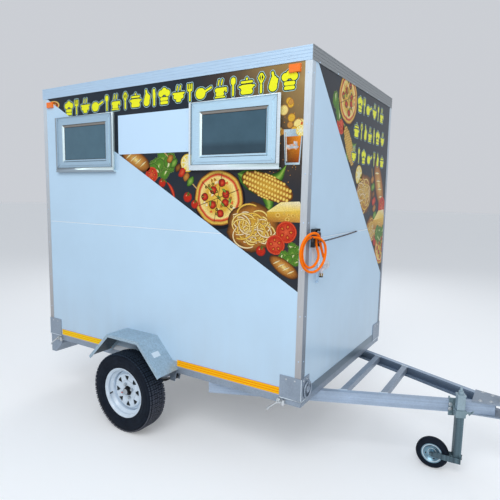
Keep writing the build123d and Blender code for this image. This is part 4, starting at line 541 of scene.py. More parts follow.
class Shape:
    """Simple solids collected into one piece."""

    def __init__(self):
        self.points = []
        self.faces = []

    def add(self, points, faces):
        start = len(self.points)
        self.points += [Vector(point) for point in points]
        self.faces += [tuple(start + index for index in face) for face in faces]
        return self

    def box(self, start, end):
        """A box between any two opposite corners."""
        x, y, z = (sorted(pair) for pair in zip(start, end))
        points = [(x[i], y[j], z[k]) for i in (0, 1) for j in (0, 1) for k in (0, 1)]
        return self.add(
            points, [(0, 1, 3, 2), (4, 6, 7, 5), (0, 4, 5, 1), (2, 3, 7, 6), (0, 2, 6, 4), (1, 5, 7, 3)]
        )

    def turned(self, profile, centre, axis, steps=48):
        """A closed profile of (radius, distance along the axis), turned round the axis."""
        axis = Vector(axis).normalized()
        side = axis.orthogonal().normalized()
        other = axis.cross(side)
        points = []
        for step in range(steps):
            angle = 2 * math.pi * step / steps
            way = side * math.cos(angle) + other * math.sin(angle)
            points += [Vector(centre) + way * radius + axis * along for radius, along in profile]
        count = len(profile)
        faces = []
        for step in range(steps):
            here = step * count
            there = (step + 1) % steps * count
            for index in range(count):
                after = (index + 1) % count
                faces.append((here + index, here + after, there + after, there + index))
        return self.add(points, faces)

    def rod(self, start, end, radius, sides=16):
        start = Vector(start)
        run = Vector(end) - start
        profile = [(NEAR_AXIS, 0.0), (radius, 0.0), (radius, run.length), (NEAR_AXIS, run.length)]
        return self.turned(profile, start, run, sides)

    def ring(self, centre, axis, radius, wire, steps):
        """A ring of round wire."""
        profile = arc((radius, 0.0), wire, 0, 315, 7)
        return self.turned(profile, centre, axis, steps)

    def frame(self, low, high, width, axis):
        """A rectangular frame of the width inside the two corners, flat along the axis."""
        first, second = [index for index in range(3) if index != axis]
        for along, across, grow in ((first, second, 0.0), (second, first, width)):
            for place in (low[across], high[across] - width):
                start = list(low)
                end = list(high)
                start[across] = place
                end[across] = place + width
                start[along] += grow
                end[along] -= grow
                self.box(start, end)
        return self

    def piece(self, name, material, body="trailer", smooth=False, bevel=0.0):
        """The finished piece, riding on its body."""
        mesh = bpy.data.meshes.new(name)
        mesh.from_pydata([tuple(point) for point in self.points], [], self.faces)
        work = bmesh.new()
        work.from_mesh(mesh)
        bmesh.ops.remove_doubles(work, verts=work.verts, dist=MERGE)
        bmesh.ops.recalc_face_normals(work, faces=work.faces)
        work.to_mesh(mesh)
        work.free()
        made = linked(name, mesh)
        if bevel:
            rounding = made.modifiers.new("rounding", "BEVEL")
            rounding.width = bevel
            rounding.segments = 2
            rounding.limit_method = "ANGLE"
            made = settled(made)
        return fitted(made, material, body, smooth or bool(bevel))


def linked(name, data):
    """A new object in the scene."""
    made = bpy.data.objects.new(name, data)
    bpy.context.scene.collection.objects.link(made)
    return made


def fitted(made, material, body="trailer", smooth=False):
    """A piece with its finish, its shading and the body that it rides on."""
    made.data.materials.clear()
    made.data.materials.append(MATERIALS[material])
    if smooth:
        made.data.polygons.foreach_set("use_smooth", [True] * len(made.data.polygons))
        made.data.set_sharp_from_angle(angle=math.radians(32))
    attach(made, body)
    return made


def settled(source):
    """The object with its modifiers turned into a plain mesh."""
    evaluated = source.evaluated_get(bpy.context.evaluated_depsgraph_get())
    mesh = bpy.data.meshes.new_from_object(evaluated)
    name = source.name
    bpy.data.objects.remove(source)
    mesh.name = name
    return linked(name, mesh)


def arc(centre, radius, first, last, steps=10, flat=1.0):
    """Points along an arc, by angles in degrees."""
    points = []
    for step in range(steps + 1):
        angle = math.radians(first + (last - first) * step / steps)
        points.append((centre[0] + radius * math.cos(angle), centre[1] + radius * flat * math.sin(angle)))
    return points


# Geometry Nodes


def new_tree(name, **sizes_in):
    """An empty tree with a geometry input, the named sizes and a material."""
    tree = bpy.data.node_groups.new(name, "GeometryNodeTree")
    tree.interface.new_socket("Geometry", in_out="INPUT", socket_type="NodeSocketGeometry")
    for label, value in sizes_in.items():
        tree.interface.new_socket(label, in_out="INPUT", socket_type="NodeSocketFloat").default_value = value
    tree.interface.new_socket("Material", in_out="INPUT", socket_type="NodeSocketMaterial")
    tree.interface.new_socket("Geometry", in_out="OUTPUT", socket_type="NodeSocketGeometry")
    return tree, node(tree, "NodeGroupInput").outputs


def kept(tree, name):
    """A vector that is kept with each point."""
    value = node(tree, "GeometryNodeInputNamedAttribute", {"Name": name}, data_type="FLOAT_VECTOR")
    return value.outputs["Attribute"]


def close_tree(tree, entry, points, instance, rotation, scale=(1.0, 1.0, 1.0)):
    """Real meshes of the instance on the points, with the material set."""
    inputs = {"Points": points, "Instance": instance, "Rotation": rotation, "Scale": scale}
    placed = node(tree, "GeometryNodeInstanceOnPoints", inputs).outputs["Instances"]
    real = node(tree, "GeometryNodeRealizeInstances", {"Geometry": placed}).outputs["Geometry"]
    coated = node(tree, "GeometryNodeSetMaterial", {"Geometry": real, "Material": entry["Material"]})
    node(tree, "NodeGroupOutput", {"Geometry": coated.outputs["Geometry"]})
    return tree


def close_heads(tree, entry, head):
    """Heads of the tree's radius and height, each turned to the way kept with its point."""
    size = {"X": entry["Radius"], "Y": entry["Radius"], "Z": entry["Height"]}
    scale = node(tree, "ShaderNodeCombineXYZ", size).outputs["Vector"]
    turn = node(tree, "FunctionNodeAlignRotationToVector", {"Vector": kept(tree, "facing")}, axis="Z")
    return close_tree(tree, entry, entry["Geometry"], head, turn.outputs["Rotation"], scale)


def dome_heads():
    """Rivet and screw heads: a low dome on each point."""
    tree, entry = new_tree("dome_heads", Radius=0.004, Height=0.002)
    ball = node(tree, "GeometryNodeMeshUVSphere", {"Segments": 12, "Rings": 6, "Radius": 1.0}).outputs["Mesh"]
    smooth = node(tree, "GeometryNodeSetShadeSmooth", {"Geometry": ball})
    return close_heads(tree, entry, smooth.outputs["Geometry"])


def hex_heads():
    """Bolt heads: a six-sided head on a round washer on each point."""
    tree, entry = new_tree("hex_heads", Radius=0.009, Height=0.006)
    both = node(tree, "GeometryNodeJoinGeometry")
    for sides, width, height, lift in ((6, 1.0, 1.0, 0.6), (20, 1.35, 0.25, 0.1)):
        inputs = {"Vertices": sides, "Radius": width, "Depth": height}
        disc = node(tree, "GeometryNodeMeshCylinder", inputs).outputs["Mesh"]
        raised = node(tree, "GeometryNodeTransform", {"Geometry": disc, "Translation": (0.0, 0.0, lift)})
        tree.links.new(raised.outputs["Geometry"], both.inputs["Geometry"])
    return close_heads(tree, entry, both.outputs["Geometry"])


def bar_rows():
    """A small bar on each point, with the size and the turn kept with the point."""
    tree, entry = new_tree("bar_rows")
    cube = node(tree, "GeometryNodeMeshCube", {"Size": (1.0, 1.0, 1.0)}).outputs["Mesh"]
    turn = node(tree, "FunctionNodeEulerToRotation", {"Euler": kept(tree, "turn")}).outputs["Rotation"]
    return close_tree(tree, entry, entry["Geometry"], cube, turn, kept(tree, "size"))


def chain_links():
    """Oval links along the input's line, each turned a quarter from the last."""
    tree, entry = new_tree("chain_links", Length=0.018, Wire=0.0024)
    line = node(tree, "GeometryNodeMeshToCurve", {"Mesh": entry["Geometry"]}).outputs["Curve"]
    pitch = calc(tree, "SUBTRACT", entry["Length"], calc(tree, "MULTIPLY", entry["Wire"], 2.1))
    places = node(tree, "GeometryNodeCurveToPoints", {"Curve": line, "Length": pitch}, mode="LENGTH").outputs
    quarter = calc(tree, "MULTIPLY", node(tree, "GeometryNodeInputIndex").outputs["Index"], math.pi / 2)
    spin = node(tree, "ShaderNodeCombineXYZ", {"Z": quarter}).outputs["Vector"]
    own = node(tree, "FunctionNodeEulerToRotation", {"Euler": spin}).outputs["Rotation"]
    turns = {"Rotation": places["Rotation"], "Rotate By": own}
    whole = node(tree, "FunctionNodeRotateRotation", turns, rotation_space="LOCAL").outputs["Rotation"]
    half = calc(tree, "DIVIDE", entry["Length"], 2.6)
    oval = {"X": calc(tree, "MULTIPLY", half, 0.5), "Y": half, "Z": 1.0}
    circle = node(tree, "GeometryNodeCurvePrimitiveCircle", {"Resolution": 16, "Radius": 1.0})
    inputs = {
        "Geometry": circle.outputs["Curve"],
        "Scale": node(tree, "ShaderNodeCombineXYZ", oval).outputs["Vector"],
        "Rotation": (math.pi / 2, 0.0, 0.0),
    }
    path = node(tree, "GeometryNodeTransform", inputs).outputs["Geometry"]
    round_wire = {"Resolution": 6, "Radius": calc(tree, "MULTIPLY", entry["Wire"], 0.5)}
    section = node(tree, "GeometryNodeCurvePrimitiveCircle", round_wire).outputs["Curve"]
    link = node(tree, "GeometryNodeCurveToMesh", {"Curve": path, "Profile Curve": section}).outputs["Mesh"]
    return close_tree(tree, entry, places["Points"], link, whole)


TREES = {}


def grown(name, tree, points, inputs, material, body="trailer", edges=(), **values_kept):
    """A piece that a node tree makes from points and the values kept with them."""
    mesh = bpy.data.meshes.new(name)
    mesh.from_pydata([tuple(point) for point in points], list(edges), [])
    for label, values in values_kept.items():
        attribute = mesh.attributes.new(label, "FLOAT_VECTOR", "POINT")
        attribute.data.foreach_set("vector", [number for value in values for number in value])
    source = linked(name, mesh)
    modifier = source.modifiers.new(name, "NODES")
    modifier.node_group = TREES[tree]
    inputs = {**inputs, "Material": MATERIALS[material]}
    for item in TREES[tree].interface.items_tree:
        if item.in_out == "INPUT" and item.name in inputs:
            modifier[item.identifier] = inputs[item.name]
    made = settled(source)
    if not len(made.data.polygons):
        raise RuntimeError(name + " came out empty")
    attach(made, body)
    return made


def heads(name, spots, radius, height, material, kind="dome"):
    """Rivets, screws or bolts at the spots, each a point and the way that it faces."""
    points, ways = zip(*spots)
    return grown(name, kind, points, {"Radius": radius, "Height": height}, material, facing=ways)


def bars(name, rows, material, body="trailer"):
    """Small bars, each a middle, a size and a turn."""
    middles, lengths, turns = zip(*rows)
    return grown(name, "bars", middles, {}, material, body, size=lengths, turn=turns)


# Places on the CAD nodes


def solids(name):
    """The low and high corner of each solid of a node, from the rear to the front."""
    work = bmesh.new()
    work.from_mesh(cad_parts[name].data)
    bmesh.ops.remove_doubles(work, verts=work.verts, dist=MERGE)
    left = set(work.verts)
    found = []
    while left:
        waiting = [left.pop()]
        group = []
        while waiting:
            vertex = waiting.pop()
            group.append(vertex.co.copy())
            for edge in vertex.link_edges:
                other = edge.other_vert(vertex)
                if other in left:
                    left.remove(other)
                    waiting.append(other)
        found.append((Vector(map(min, zip(*group))), Vector(map(max, zip(*group)))))
    work.free()
    return sorted(found, key=lambda corners: tuple(corners[0]))


def outer(low, high, axis):
    """The side away from the cabin's middle along an axis: its way, its place and the place opposite."""
    middle = (MID_X, 0.0, 0.0)[axis]
    if low[axis] + high[axis] > 2 * middle:
        return 1, high[axis], low[axis]
    return -1, low[axis], high[axis]


def on_skin(name, start, way):
    """Where a line from the start meets a node, and the way that its face looks."""
    way = Vector(way)
    hit, place, facing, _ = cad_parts[name].ray_cast(Vector(start), way)
    if not hit:
        raise RuntimeError("nothing of " + name + " is met from " + str(tuple(start)))
    return place, (facing if facing.dot(way) < 0 else -facing)


def row(start, end, pitch):
    """Places from start to end along one axis, no further apart than the pitch."""
    count = max(1, math.ceil((end - start) / pitch))
    return [start + (end - start) * index / count for index in range(count + 1)]


# Finishes of the CAD nodes

NODE_FINISHES = {
    "sheet": "right_wall left_wall front_wall rear_wall roof_panel serving_hatch rear_door",
    "galvanised": "side_rails cross_members drawbar_struts hitch_plates axle_beam spring_hangers axle_clamps "
    "corner_plates tie_ring light_bar",
    "clamp_zinc": "jockey_clamp",
    "guard_zinc": "mudguards",
    "jockey_zinc": "jockey_tube jockey_fork",
    "jockey_steel": "jockey_rim",
    "arm_zinc": "drawbar_arms",
    "aluminium": "hatch_hinges",
    "roof_aluminium": "roof_trim",
    "foot_aluminium": "base_trims",
    "upright_aluminium": "corner_trims hatch_frame",
    "window_aluminium": "window_frames window_sashes",
    "zinc": "coupler_body coupler_lever leg_clamps door_hinges strut_rods",
    "pipe": "gas_pipe",
    "dark_steel": "leaf_springs strut_tubes strut_brackets gas_bracket",
    "stainless": "worktop worktop_brackets",
    "rim_white": "rim_right rim_left",
    "hub": "hub_right hub_left",
    "rubber": "jockey_tyre",
    "glass": "window_glass",
    "red_lens": "tail_lamps",
    "amber_lens": "side_markers",
    "blank_sheet": "sign_panel number_plate",
    "regulator": "gas_regulator",
    "black": "door_handle",
    "floor": "floor_panel",
}


class TRAILER_OT_finish_surfaces(bpy.types.Operator):
    """Make the finishes and put them on the trailer's main pieces"""

    bl_idname = "trailer.finish_surfaces"
    bl_label = "Finish the surfaces"

    def execute(self, context):
        make_finishes()
        TREES.update(dome=dome_heads(), hex=hex_heads(), bars=bar_rows(), chain=chain_links())
        for key, names in NODE_FINISHES.items():
            for name in names.split():
                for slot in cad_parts[name].material_slots:
                    slot.material = MATERIALS[key]
        return {"FINISHED"}


# Gas hose and chain

COIL_CENTRE = at(1.235, -0.78, 1.4)
COIL_YAW = math.radians(17.0)
HOSE_OUTLET = (0.06, 0.078, -0.03)
HOSE_INLET = ((0.06, 0.048, -0.03), (0.061, 0.022, -0.022), (0.062, -0.004, -0.012))
HOSE_CROSSING = ((0.034, 0.088, 0.002), (0.07, 0.07, 0.008))
HOSE_TAIL = (
    (0.034, 0.107, 0.002), (0.06, 0.088, -0.006), (0.088, 0.046, -0.02), (0.112, 0.0, -0.026),
    (0.14, -0.052, -0.03),
)
BOTTLE_NUT = (0.122, -0.125, -0.034)
REGULATOR_FACE = (0.159, -0.086, -0.022)


def coil_point(right, up, out):
    """A point in the coil's own frame, which is turned away from the front wall."""
    sine = math.sin(COIL_YAW)
    cosine = math.cos(COIL_YAW)
    return COIL_CENTRE + Vector((right * sine + out * cosine, right * cosine - out * sine, up))


def coil_turn(centre, half_width, half_height, out, first, steps):
    """Control points of most of a turn, clockwise from an angle to the top of the coil."""
    reach = 1 / math.cos(math.pi / 16)
    wide = half_width * reach
    flat = half_height / half_width
    return [coil_point(*place, out) for place in arc(centre, wide, -first, -270, steps, flat)]


class TRAILER_OT_hang_hose(bpy.types.Operator):
    """Coil the gas hose over its peg"""

    bl_idname = "trailer.hang_hose"
    bl_label = "Hang the gas hose"

    def execute(self, context):
        route = [coil_point(*place) for place in (HOSE_OUTLET, *HOSE_INLET)]
        route += coil_turn((-0.0126, 0.001), 0.0735, 0.087, -0.004, 22, 11)
        route += [coil_point(*place) for place in HOSE_CROSSING]
        route += coil_turn((0.0, 0.0), 0.109, 0.1127, 0.004, -22, 13)
        route += [coil_point(*place) for place in HOSE_TAIL]
        curve = bpy.data.curves.new("gas_hose", "CURVE")
        curve.dimensions = "3D"
        curve.bevel_depth = sizes().hose / 2
        curve.bevel_resolution = 5
        curve.use_fill_caps = True
        curve.resolution_u = 12
        spline = curve.splines.new("NURBS")
        spline.points.add(len(route) - 1)
        for point, place in zip(spline.points, route):
            point.co = (*place, 1.0)
        spline.order_u = 3
        spline.use_endpoint_u = True
        hose = linked("gas_hose", curve)
        curve.materials.append(MATERIALS["hose"])
        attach(hose, "trailer")
        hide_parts("hose_tube", "hose_coil")
        return {"FINISHED"}


class TRAILER_OT_fit_regulator(bpy.types.Operator):
    """Fit the bottle nut, its cap and the rings of the regulator"""

    bl_idname = "trailer.fit_regulator"
    bl_label = "Fit the regulator"

    def execute(self, context):
        top = coil_point(*BOTTLE_NUT)
        down = Vector((0, 0, -1))
        nut = Shape().rod(top + down * 0.0115, top + down * 0.0268, 0.0145, 6)
        nut.piece("bottle_nut", "brass", bevel=0.0008)
        cap = Shape().rod(top + down * 0.0268, top + down * 0.035, 0.012, 24)
        cap.piece("bottle_nut_cap", "black", bevel=0.0008)
        face = coil_point(*REGULATOR_FACE)
        out = (coil_point(0, 0, 1) - coil_point(0, 0, 0)).normalized()
        rings = Shape()
        for radius, wire_radius in ((0.0235, 0.0012), (0.012, 0.0016)):
            rings.ring(face + out * 0.0003, out, radius, wire_radius, 40)
        rings.rod(face - out * 0.0005, face + out * 0.0022, 0.0095, 24)
        rings.piece("regulator_rings", "zinc", smooth=True)
        end = coil_point(*HOSE_TAIL[-1])
        way = (end - coil_point(*HOSE_TAIL[-2])).normalized()
        ferrule = Shape().rod(end - way * 0.016, end + way * 0.006, 0.0093, 24)
        ferrule.piece("hose_ferrule", "zinc", bevel=0.0006)
        return {"FINISHED"}


CHAIN_EYE = at(1.2, 0.046, 1.476)
CHAIN_END = (0.02, 0.061, 0.02)
CHAIN_STEPS = 12
CHAIN_SAG = 0.016


class TRAILER_OT_tie_chain(bpy.types.Operator):
    """Tie the coil to the front wall with a small chain"""

    bl_idname = "trailer.tie_chain"
    bl_label = "Tie the chain"

    def execute(self, context):
        start = CHAIN_EYE + Vector((0.01, 0, 0))
        end = coil_point(*CHAIN_END)
        line = []
        for step in range(CHAIN_STEPS + 1):
            share = step / CHAIN_STEPS
            line.append(start.lerp(end, share) - Vector((0, 0, CHAIN_SAG * share * (1 - share))))
        edges = [(step, step + 1) for step in range(CHAIN_STEPS)]
        inputs = {"Length": sizes().link, "Wire": 0.0034}
        grown("tether_chain", "chain", line, inputs, "chain", edges=edges)
        eye = Shape().ring(CHAIN_EYE + Vector((0.008, 0, 0)), (0, 0, 1), 0.007, 0.0013, 20)
        eye.rod(CHAIN_EYE, CHAIN_EYE + Vector((0.0025, 0, 0)), 0.0028)
        eye.piece("chain_eye", "chain", smooth=True)
        return {"FINISHED"}


# Printed film

# How far a level stands off the wall, and how much of a level each motif's part takes
DEPTH_STEP = 0.00012
FINE_LEVEL = 0.06
CAP_STEPS = 8


def tone(red, green, blue):
    """An ink, from its three channels on the usual scale of 0 to 255."""
    return tuple((channel / 255) ** 2.2 for channel in (red, green, blue))


INKS = {
    "night": tone(22, 24, 32),
    "umber": tone(66, 42, 24),
    "burnt": tone(96, 56, 24),
    "crust": tone(168, 106, 44),
    "bread": tone(206, 148, 72),
    "gold": tone(226, 176, 62),
    "cheese": tone(240, 200, 84),
    "butter": tone(250, 226, 140),
    "cream": tone(244, 232, 196),
    "tomato": tone(196, 46, 26),
    "blush": tone(226, 96, 58),
    "salami": tone(142, 38, 34),
    "olive": tone(74, 78, 36),
    "pit": tone(26, 28, 18),
    "leaf": tone(84, 132, 44),
    "sprout": tone(154, 188, 82),
    "fern": tone(34, 64, 26),
    "lemon": tone(244, 214, 54),
    "pith": tone(246, 240, 200),
    "amber": tone(150, 66, 20),
    "ice": tone(206, 226, 236),
    "glassy": tone(150, 176, 190),
    "wood": tone(196, 160, 104),
    "teal": tone(10, 34, 40),
    "mist": tone(176, 214, 216),
    "ember": tone(250, 150, 40),
}


def shifted(centre, along, up, turn=0.0):
    """A place at a distance from the centre, in a frame that is turned."""
    return (
        centre[0] + along * math.cos(turn) - up * math.sin(turn),
        centre[1] + along * math.sin(turn) + up * math.cos(turn),
    )


def on_oval(centre, wide, high, angle, turn=0.0):
    """A place on an oval, by its angle before the oval is turned."""
    return shifted(centre, wide * math.cos(angle), high * math.sin(angle), turn)


class Print:
    """Flat inks on a wall, each a little prouder than the one below it."""

    def __init__(self, place, along, outward, seed):
        self.place = Vector(place)
        self.along = Vector(along)
        self.outward = Vector(outward)
        self.random = random.Random(seed)
        self.level = 2
        self.points = []
        self.tints = []
        self.faces = []

    def on_wall(self, along, up, level):
        """A point of the wall, raised by the level."""
        return self.place + self.along * along + Vector((0, 0, up)) + self.outward * level * DEPTH_STEP

    def lay(self, points, inks, faces, mottle=1.0):
        start = len(self.points)
        self.points += [self.on_wall(along, up, self.level) for along, up in points]
        self.tints += [(*(INKS[ink] if isinstance(ink, str) else ink), mottle) for ink in inks]
        self.faces += [tuple(start + index for index in face) for face in faces]
        self.level += FINE_LEVEL

    def fan(self, centre, size, rings, wobble=0.0, lobes=5, turn=0.0, steps=24):
        """An oval that shades through its rings, each a share of the size and an ink."""
        shift = self.random.uniform(0, 6.28)
        points = [centre]
        inks = [rings[0][1]]
        for share, ink in rings[1:]:
            for step in range(steps):
                angle = 2 * math.pi * step / steps
                wave = math.sin(lobes * angle + shift) + 0.5 * math.sin((2 * lobes + 1) * angle - shift)
                reach = share * (1 + wobble * wave)
                points.append(on_oval(centre, size[0] * reach, size[1] * reach, angle, turn))
                inks.append(ink)
        faces = [(0, 1 + step, 1 + (step + 1) % steps) for step in range(steps)]
        for inner in range(1, 1 + (len(rings) - 2) * steps, steps):
            for step in range(steps):
                after = (step + 1) % steps
                faces.append((inner + step, inner + steps + step, inner + steps + after, inner + after))
        self.lay(points, inks, faces)

    def band(self, path, width, lanes, taper=0.0):
        """A strip along the path, its lanes from one edge to the other; taper draws in its ends."""
        points = []
        last = len(path) - 1
        for index, place in enumerate(path):
            before = path[max(0, index - 1)]
            after = path[min(last, index + 1)]
            turn = math.atan2(after[1] - before[1], after[0] - before[0])
            wide = width * ((1 - taper) + taper * math.sin(math.pi * index / last))
            for lane in range(len(lanes)):
                points.append(shifted(place, 0.0, wide * (lane / (len(lanes) - 1) - 0.5), turn))
        count = len(lanes)
        faces = []
        for index in range(last):
            for corner in range(index * count, index * count + count - 1):
                faces.append((corner, corner + count, corner + count + 1, corner + 1))
        self.lay(points, list(lanes) * len(path), faces)

    def bar(self, start, end, radius, ink, mottle=0.0):
        """A bar with round ends, or a disc where it has no length."""
        turn = math.degrees(math.atan2(end[1] - start[1], end[0] - start[0]))
        points = arc(end, radius, turn - 90, turn + 90, CAP_STEPS)
        points += arc(start, radius, turn + 90, turn + 270, CAP_STEPS)
        self.lay(points, [ink] * len(points), [tuple(range(len(points)))], mottle)

    def patch(self, centre, wide, high, corners, inks):
        """A flat shape, its corners as shares of its width and height."""
        points = [(centre[0] + wide * along, centre[1] + high * up) for along, up in corners]
        self.lay(points, inks, [tuple(range(len(points)))])

    def scatter(self, count, centre, size):
        """Random places in an oval, with a random share for each."""
        places = []
        for _ in range(count):
            angle = self.random.uniform(0, 2 * math.pi)
            reach = math.sqrt(self.random.random())
            along, up = on_oval(centre, size[0] * reach, size[1] * reach, angle)
            places.append((along, up, self.random.random()))
        return places

    def piece(self, name, cuts, holes):
        """The print inside the cutting planes and outside the holes, as one piece."""
        mesh = bpy.data.meshes.new(name)
        mesh.from_pydata([tuple(point) for point in self.points], [], self.faces)
        tint = mesh.attributes.new("tint", "FLOAT_COLOR", "POINT")
        tint.data.foreach_set("color", [channel for tints in self.tints for channel in tints])
        trimmed(mesh, cuts, holes, self.outward)
        return fitted(linked(name, mesh), "print")


def trimmed(mesh, cuts, holes, outward):
    """Cuts the flat mesh to the planes and takes out the holes, each a low and a high corner."""
    work = bmesh.new()
    work.from_mesh(mesh)

    def cut(place, way, **settings):
        everything = work.verts[:] + work.edges[:] + work.faces[:]
        bmesh.ops.bisect_plane(work, geom=everything, plane_co=place, plane_no=way, **settings)

    for place, way in cuts:
        cut(place, way, clear_outer=True)
    for low, high in holes:
        for place, way in ((low, (1, 0, 0)), (high, (1, 0, 0)), (low, (0, 0, 1)), (high, (0, 0, 1))):
            cut(place, way)
        inside = []
        for face in work.faces:
            middle = face.calc_center_median()
            if low.x < middle.x < high.x and low.z < middle.z < high.z:
                inside.append(face)
        bmesh.ops.delete(work, geom=inside, context="FACES")
    for face in work.faces:
        face.normal_update()
        if face.normal.dot(outward) < 0:
            face.normal_flip()
    work.to_mesh(mesh)
    work.free()


# Motifs of the film

LEAF = ("fern", "leaf", "sprout", "leaf", "fern")


def draw_leaf(art, base, length, turn, inks=LEAF, curve=0.15):
    path = []
    for step in range(9):
        share = step / 8
        path.append(shifted(base, length * share, 0.0, turn + curve * math.sin(math.pi * share)))
    art.band(path, length * 0.42, inks, taper=1.0)


def draw_salad(art, centre, size):
    """Loose salad leaves, dark at the foot and frilled at the edge."""
    for along, up, share in art.scatter(13, centre, (size * 0.75, size * 0.5)):
        rings = ((0, "sprout"), (0.35, "leaf"), (0.8, "leaf"), (0.92, "fern"), (1.0, "sprout"))
        reach = size * (0.26 + 0.16 * share)
        art.fan((along, up), (reach, reach * 0.8), rings, 0.09, 9, share * 6)
        draw_leaf(art, (along, up), reach * 0.8, share * 6.3, ("sprout", "cream", "sprout"), 0.3)


def draw_tomato(art, centre, size, turn=0.0):
    """A slice of tomato with its seed chambers."""
    rings = ((0, "blush"), (0.86, "tomato"), (0.9, "blush"), (1.0, "tomato"))
    art.fan(centre, (size * 1.05, size), rings, 0.01)
    for index in range(5):
        angle = turn + 2 * math.pi * index / 5
        spot = on_oval(centre, size * 0.5, size * 0.5, angle)
        rings = ((0, "gold"), (0.6, "tomato"), (1.0, "salami"))
        art.fan(spot, (size * 0.24, size * 0.17), rings, 0.05, 4, angle, 14)


def draw_pizza(art, centre, size):
    """A whole flatbread with cheese, sausage, olives and basil."""
    shadow = ((0, "night"), (1.0, "night"))
    art.fan(shifted(centre, size * 0.03, -size * 0.05), (size * 1.06, size), shadow)
    rings = (
        (0, "cheese"), (0.5, "gold"), (0.74, "butter"), (0.8, "blush"), (0.84, "tomato"), (0.86, "bread"),
        (0.92, "cheese"), (0.97, "crust"), (1.0, "burnt"),
    )
    art.fan(centre, (size, size * 0.94), rings, 0.012, 7, steps=48)
    for along, up, share in art.scatter(26, centre, (size * 0.72, size * 0.68)):
        ink = ("cream", "butter", "blush", "crust")[int(share * 4)]
        rings = ((0, ink), (0.5, ink), (1.0, "gold"))
        art.fan((along, up), (size * 0.07, size * 0.05), rings, 0.2, 3, share * 6, 12)
    for index in range(7):
        reach = size * (0.56 if index % 2 else 0.34)
        spot = on_oval(centre, reach, reach * 0.94, 0.4 + 2 * math.pi * index / 7)
        rings = ((0, "blush"), (0.5, "tomato"), (0.86, "salami"), (0.9, "burnt"), (1.0, "burnt"))
        art.fan(spot, (size * 0.15, size * 0.14), rings, 0.03, 4)
    for along, up, _ in art.scatter(9, centre, (size * 0.66, size * 0.62)):
        rings = ((0, "gold"), (0.38, "gold"), (0.42, "pit"), (0.7, "olive"), (1.0, "pit"))
        art.fan((along, up), (size * 0.055, size * 0.05), rings, steps=12)
    for along, up, share in art.scatter(6, centre, (size * 0.55, size * 0.5)):
        draw_leaf(art, (along, up), size * 0.22, share * 6.3)
    for turn in (20, 80, 140):
        start, end = arc(centre, size * 0.9, turn, turn + 180, 1, 0.94)
        art.band([start, centre, end], size * 0.02, ("umber", "burnt"))


def draw_noodles(art, centre, size, count=46):
    """A heap of thick noodles."""
    art.fan(centre, (size, size * 0.8), ((0, "gold"), (0.75, "crust"), (1.0, "umber")), 0.05, 6)
    for index in range(count):
        along, up, share = art.scatter(1, centre, (size * 0.55, size * 0.42))[0]
        first = art.random.uniform(0, 360)
        last = first + art.random.uniform(90, 230)
        path = arc((along, up), size * (0.2 + 0.34 * share), first, last, 12, 0.75)
        light = ("butter", "cheese", "cream")[index % 3]
        art.band(path, size * 0.075, ("umber", "bread", light, light, "gold", "burnt"), 0.2)


def draw_corn(art, centre, length, turn):
    """A cob with its husk drawn back."""
    for spread in (-0.55, 0.5, 0.0):
        base = shifted(centre, -length * 0.62, 0.0, turn)
        draw_leaf(art, base, length * 0.95, turn + spread, curve=-spread)
    long = length * 0.52
    wide = length * 0.2
    art.fan(centre, (long, wide), ((0, "gold"), (0.8, "crust"), (1.0, "burnt")), turn=turn, steps=32)
    level = art.level
    for lane in range(-3, 4):
        for step in range(-8, 9):
            along = length * 0.058 * (step + 0.5 * (lane % 2))
            across = math.sin(lane * 0.42) * wide * 0.98
            if (along / long) ** 2 + (across / wide) ** 2 > 0.9:
                continue
            art.level = level + (lane % 2) * FINE_LEVEL
            kernel = (length * 0.031, wide * 0.19 * math.cos(lane * 0.36))
            rings = ((0, "butter"), (0.6, "cheese"), (1.0, "crust"))
            art.fan(shifted(centre, along, across, turn), kernel, rings, turn=turn, steps=8)


def draw_cheese(art, centre, size):
    """A wedge of cheese with holes."""
    top = ((-1, 0), (1, 0.1), (0.8, 0.55), (-0.2, 0.5))
    side = ((-1, 0), (-0.95, -0.5), (0.97, -0.45), (1, 0.1))
    art.patch(centre, size, size, top, ("butter", "cheese", "cream", "butter"))
    art.patch(centre, size, size, side, ("gold", "crust", "bread", "cheese"))
    for along, up, share in art.scatter(7, shifted(centre, 0, -size * 0.2), (size * 0.75, size * 0.16)):
        reach = size * (0.05 + 0.08 * share)
        art.fan((along, up), (reach, reach * 0.8), ((0, "crust"), (0.7, "gold"), (1.0, "butter")), steps=14)


def draw_lemon(art, centre, size, turn=0.0):
    """A slice of lemon."""
    art.fan(centre, (size, size), ((0, "pith"), (0.86, "pith"), (0.88, "lemon"), (1.0, "gold")), steps=28)
    for index in range(8):
        middle = math.degrees(turn) + 45 * index
        tip = on_oval((0, 0), 0.12, 0.12, math.radians(middle))
        rind = arc((0, 0), 0.78, middle - 17, middle + 17, 3)
        art.patch(centre, size, size, (tip, *rind), ("pith", "lemon", "lemon", "lemon", "lemon"))


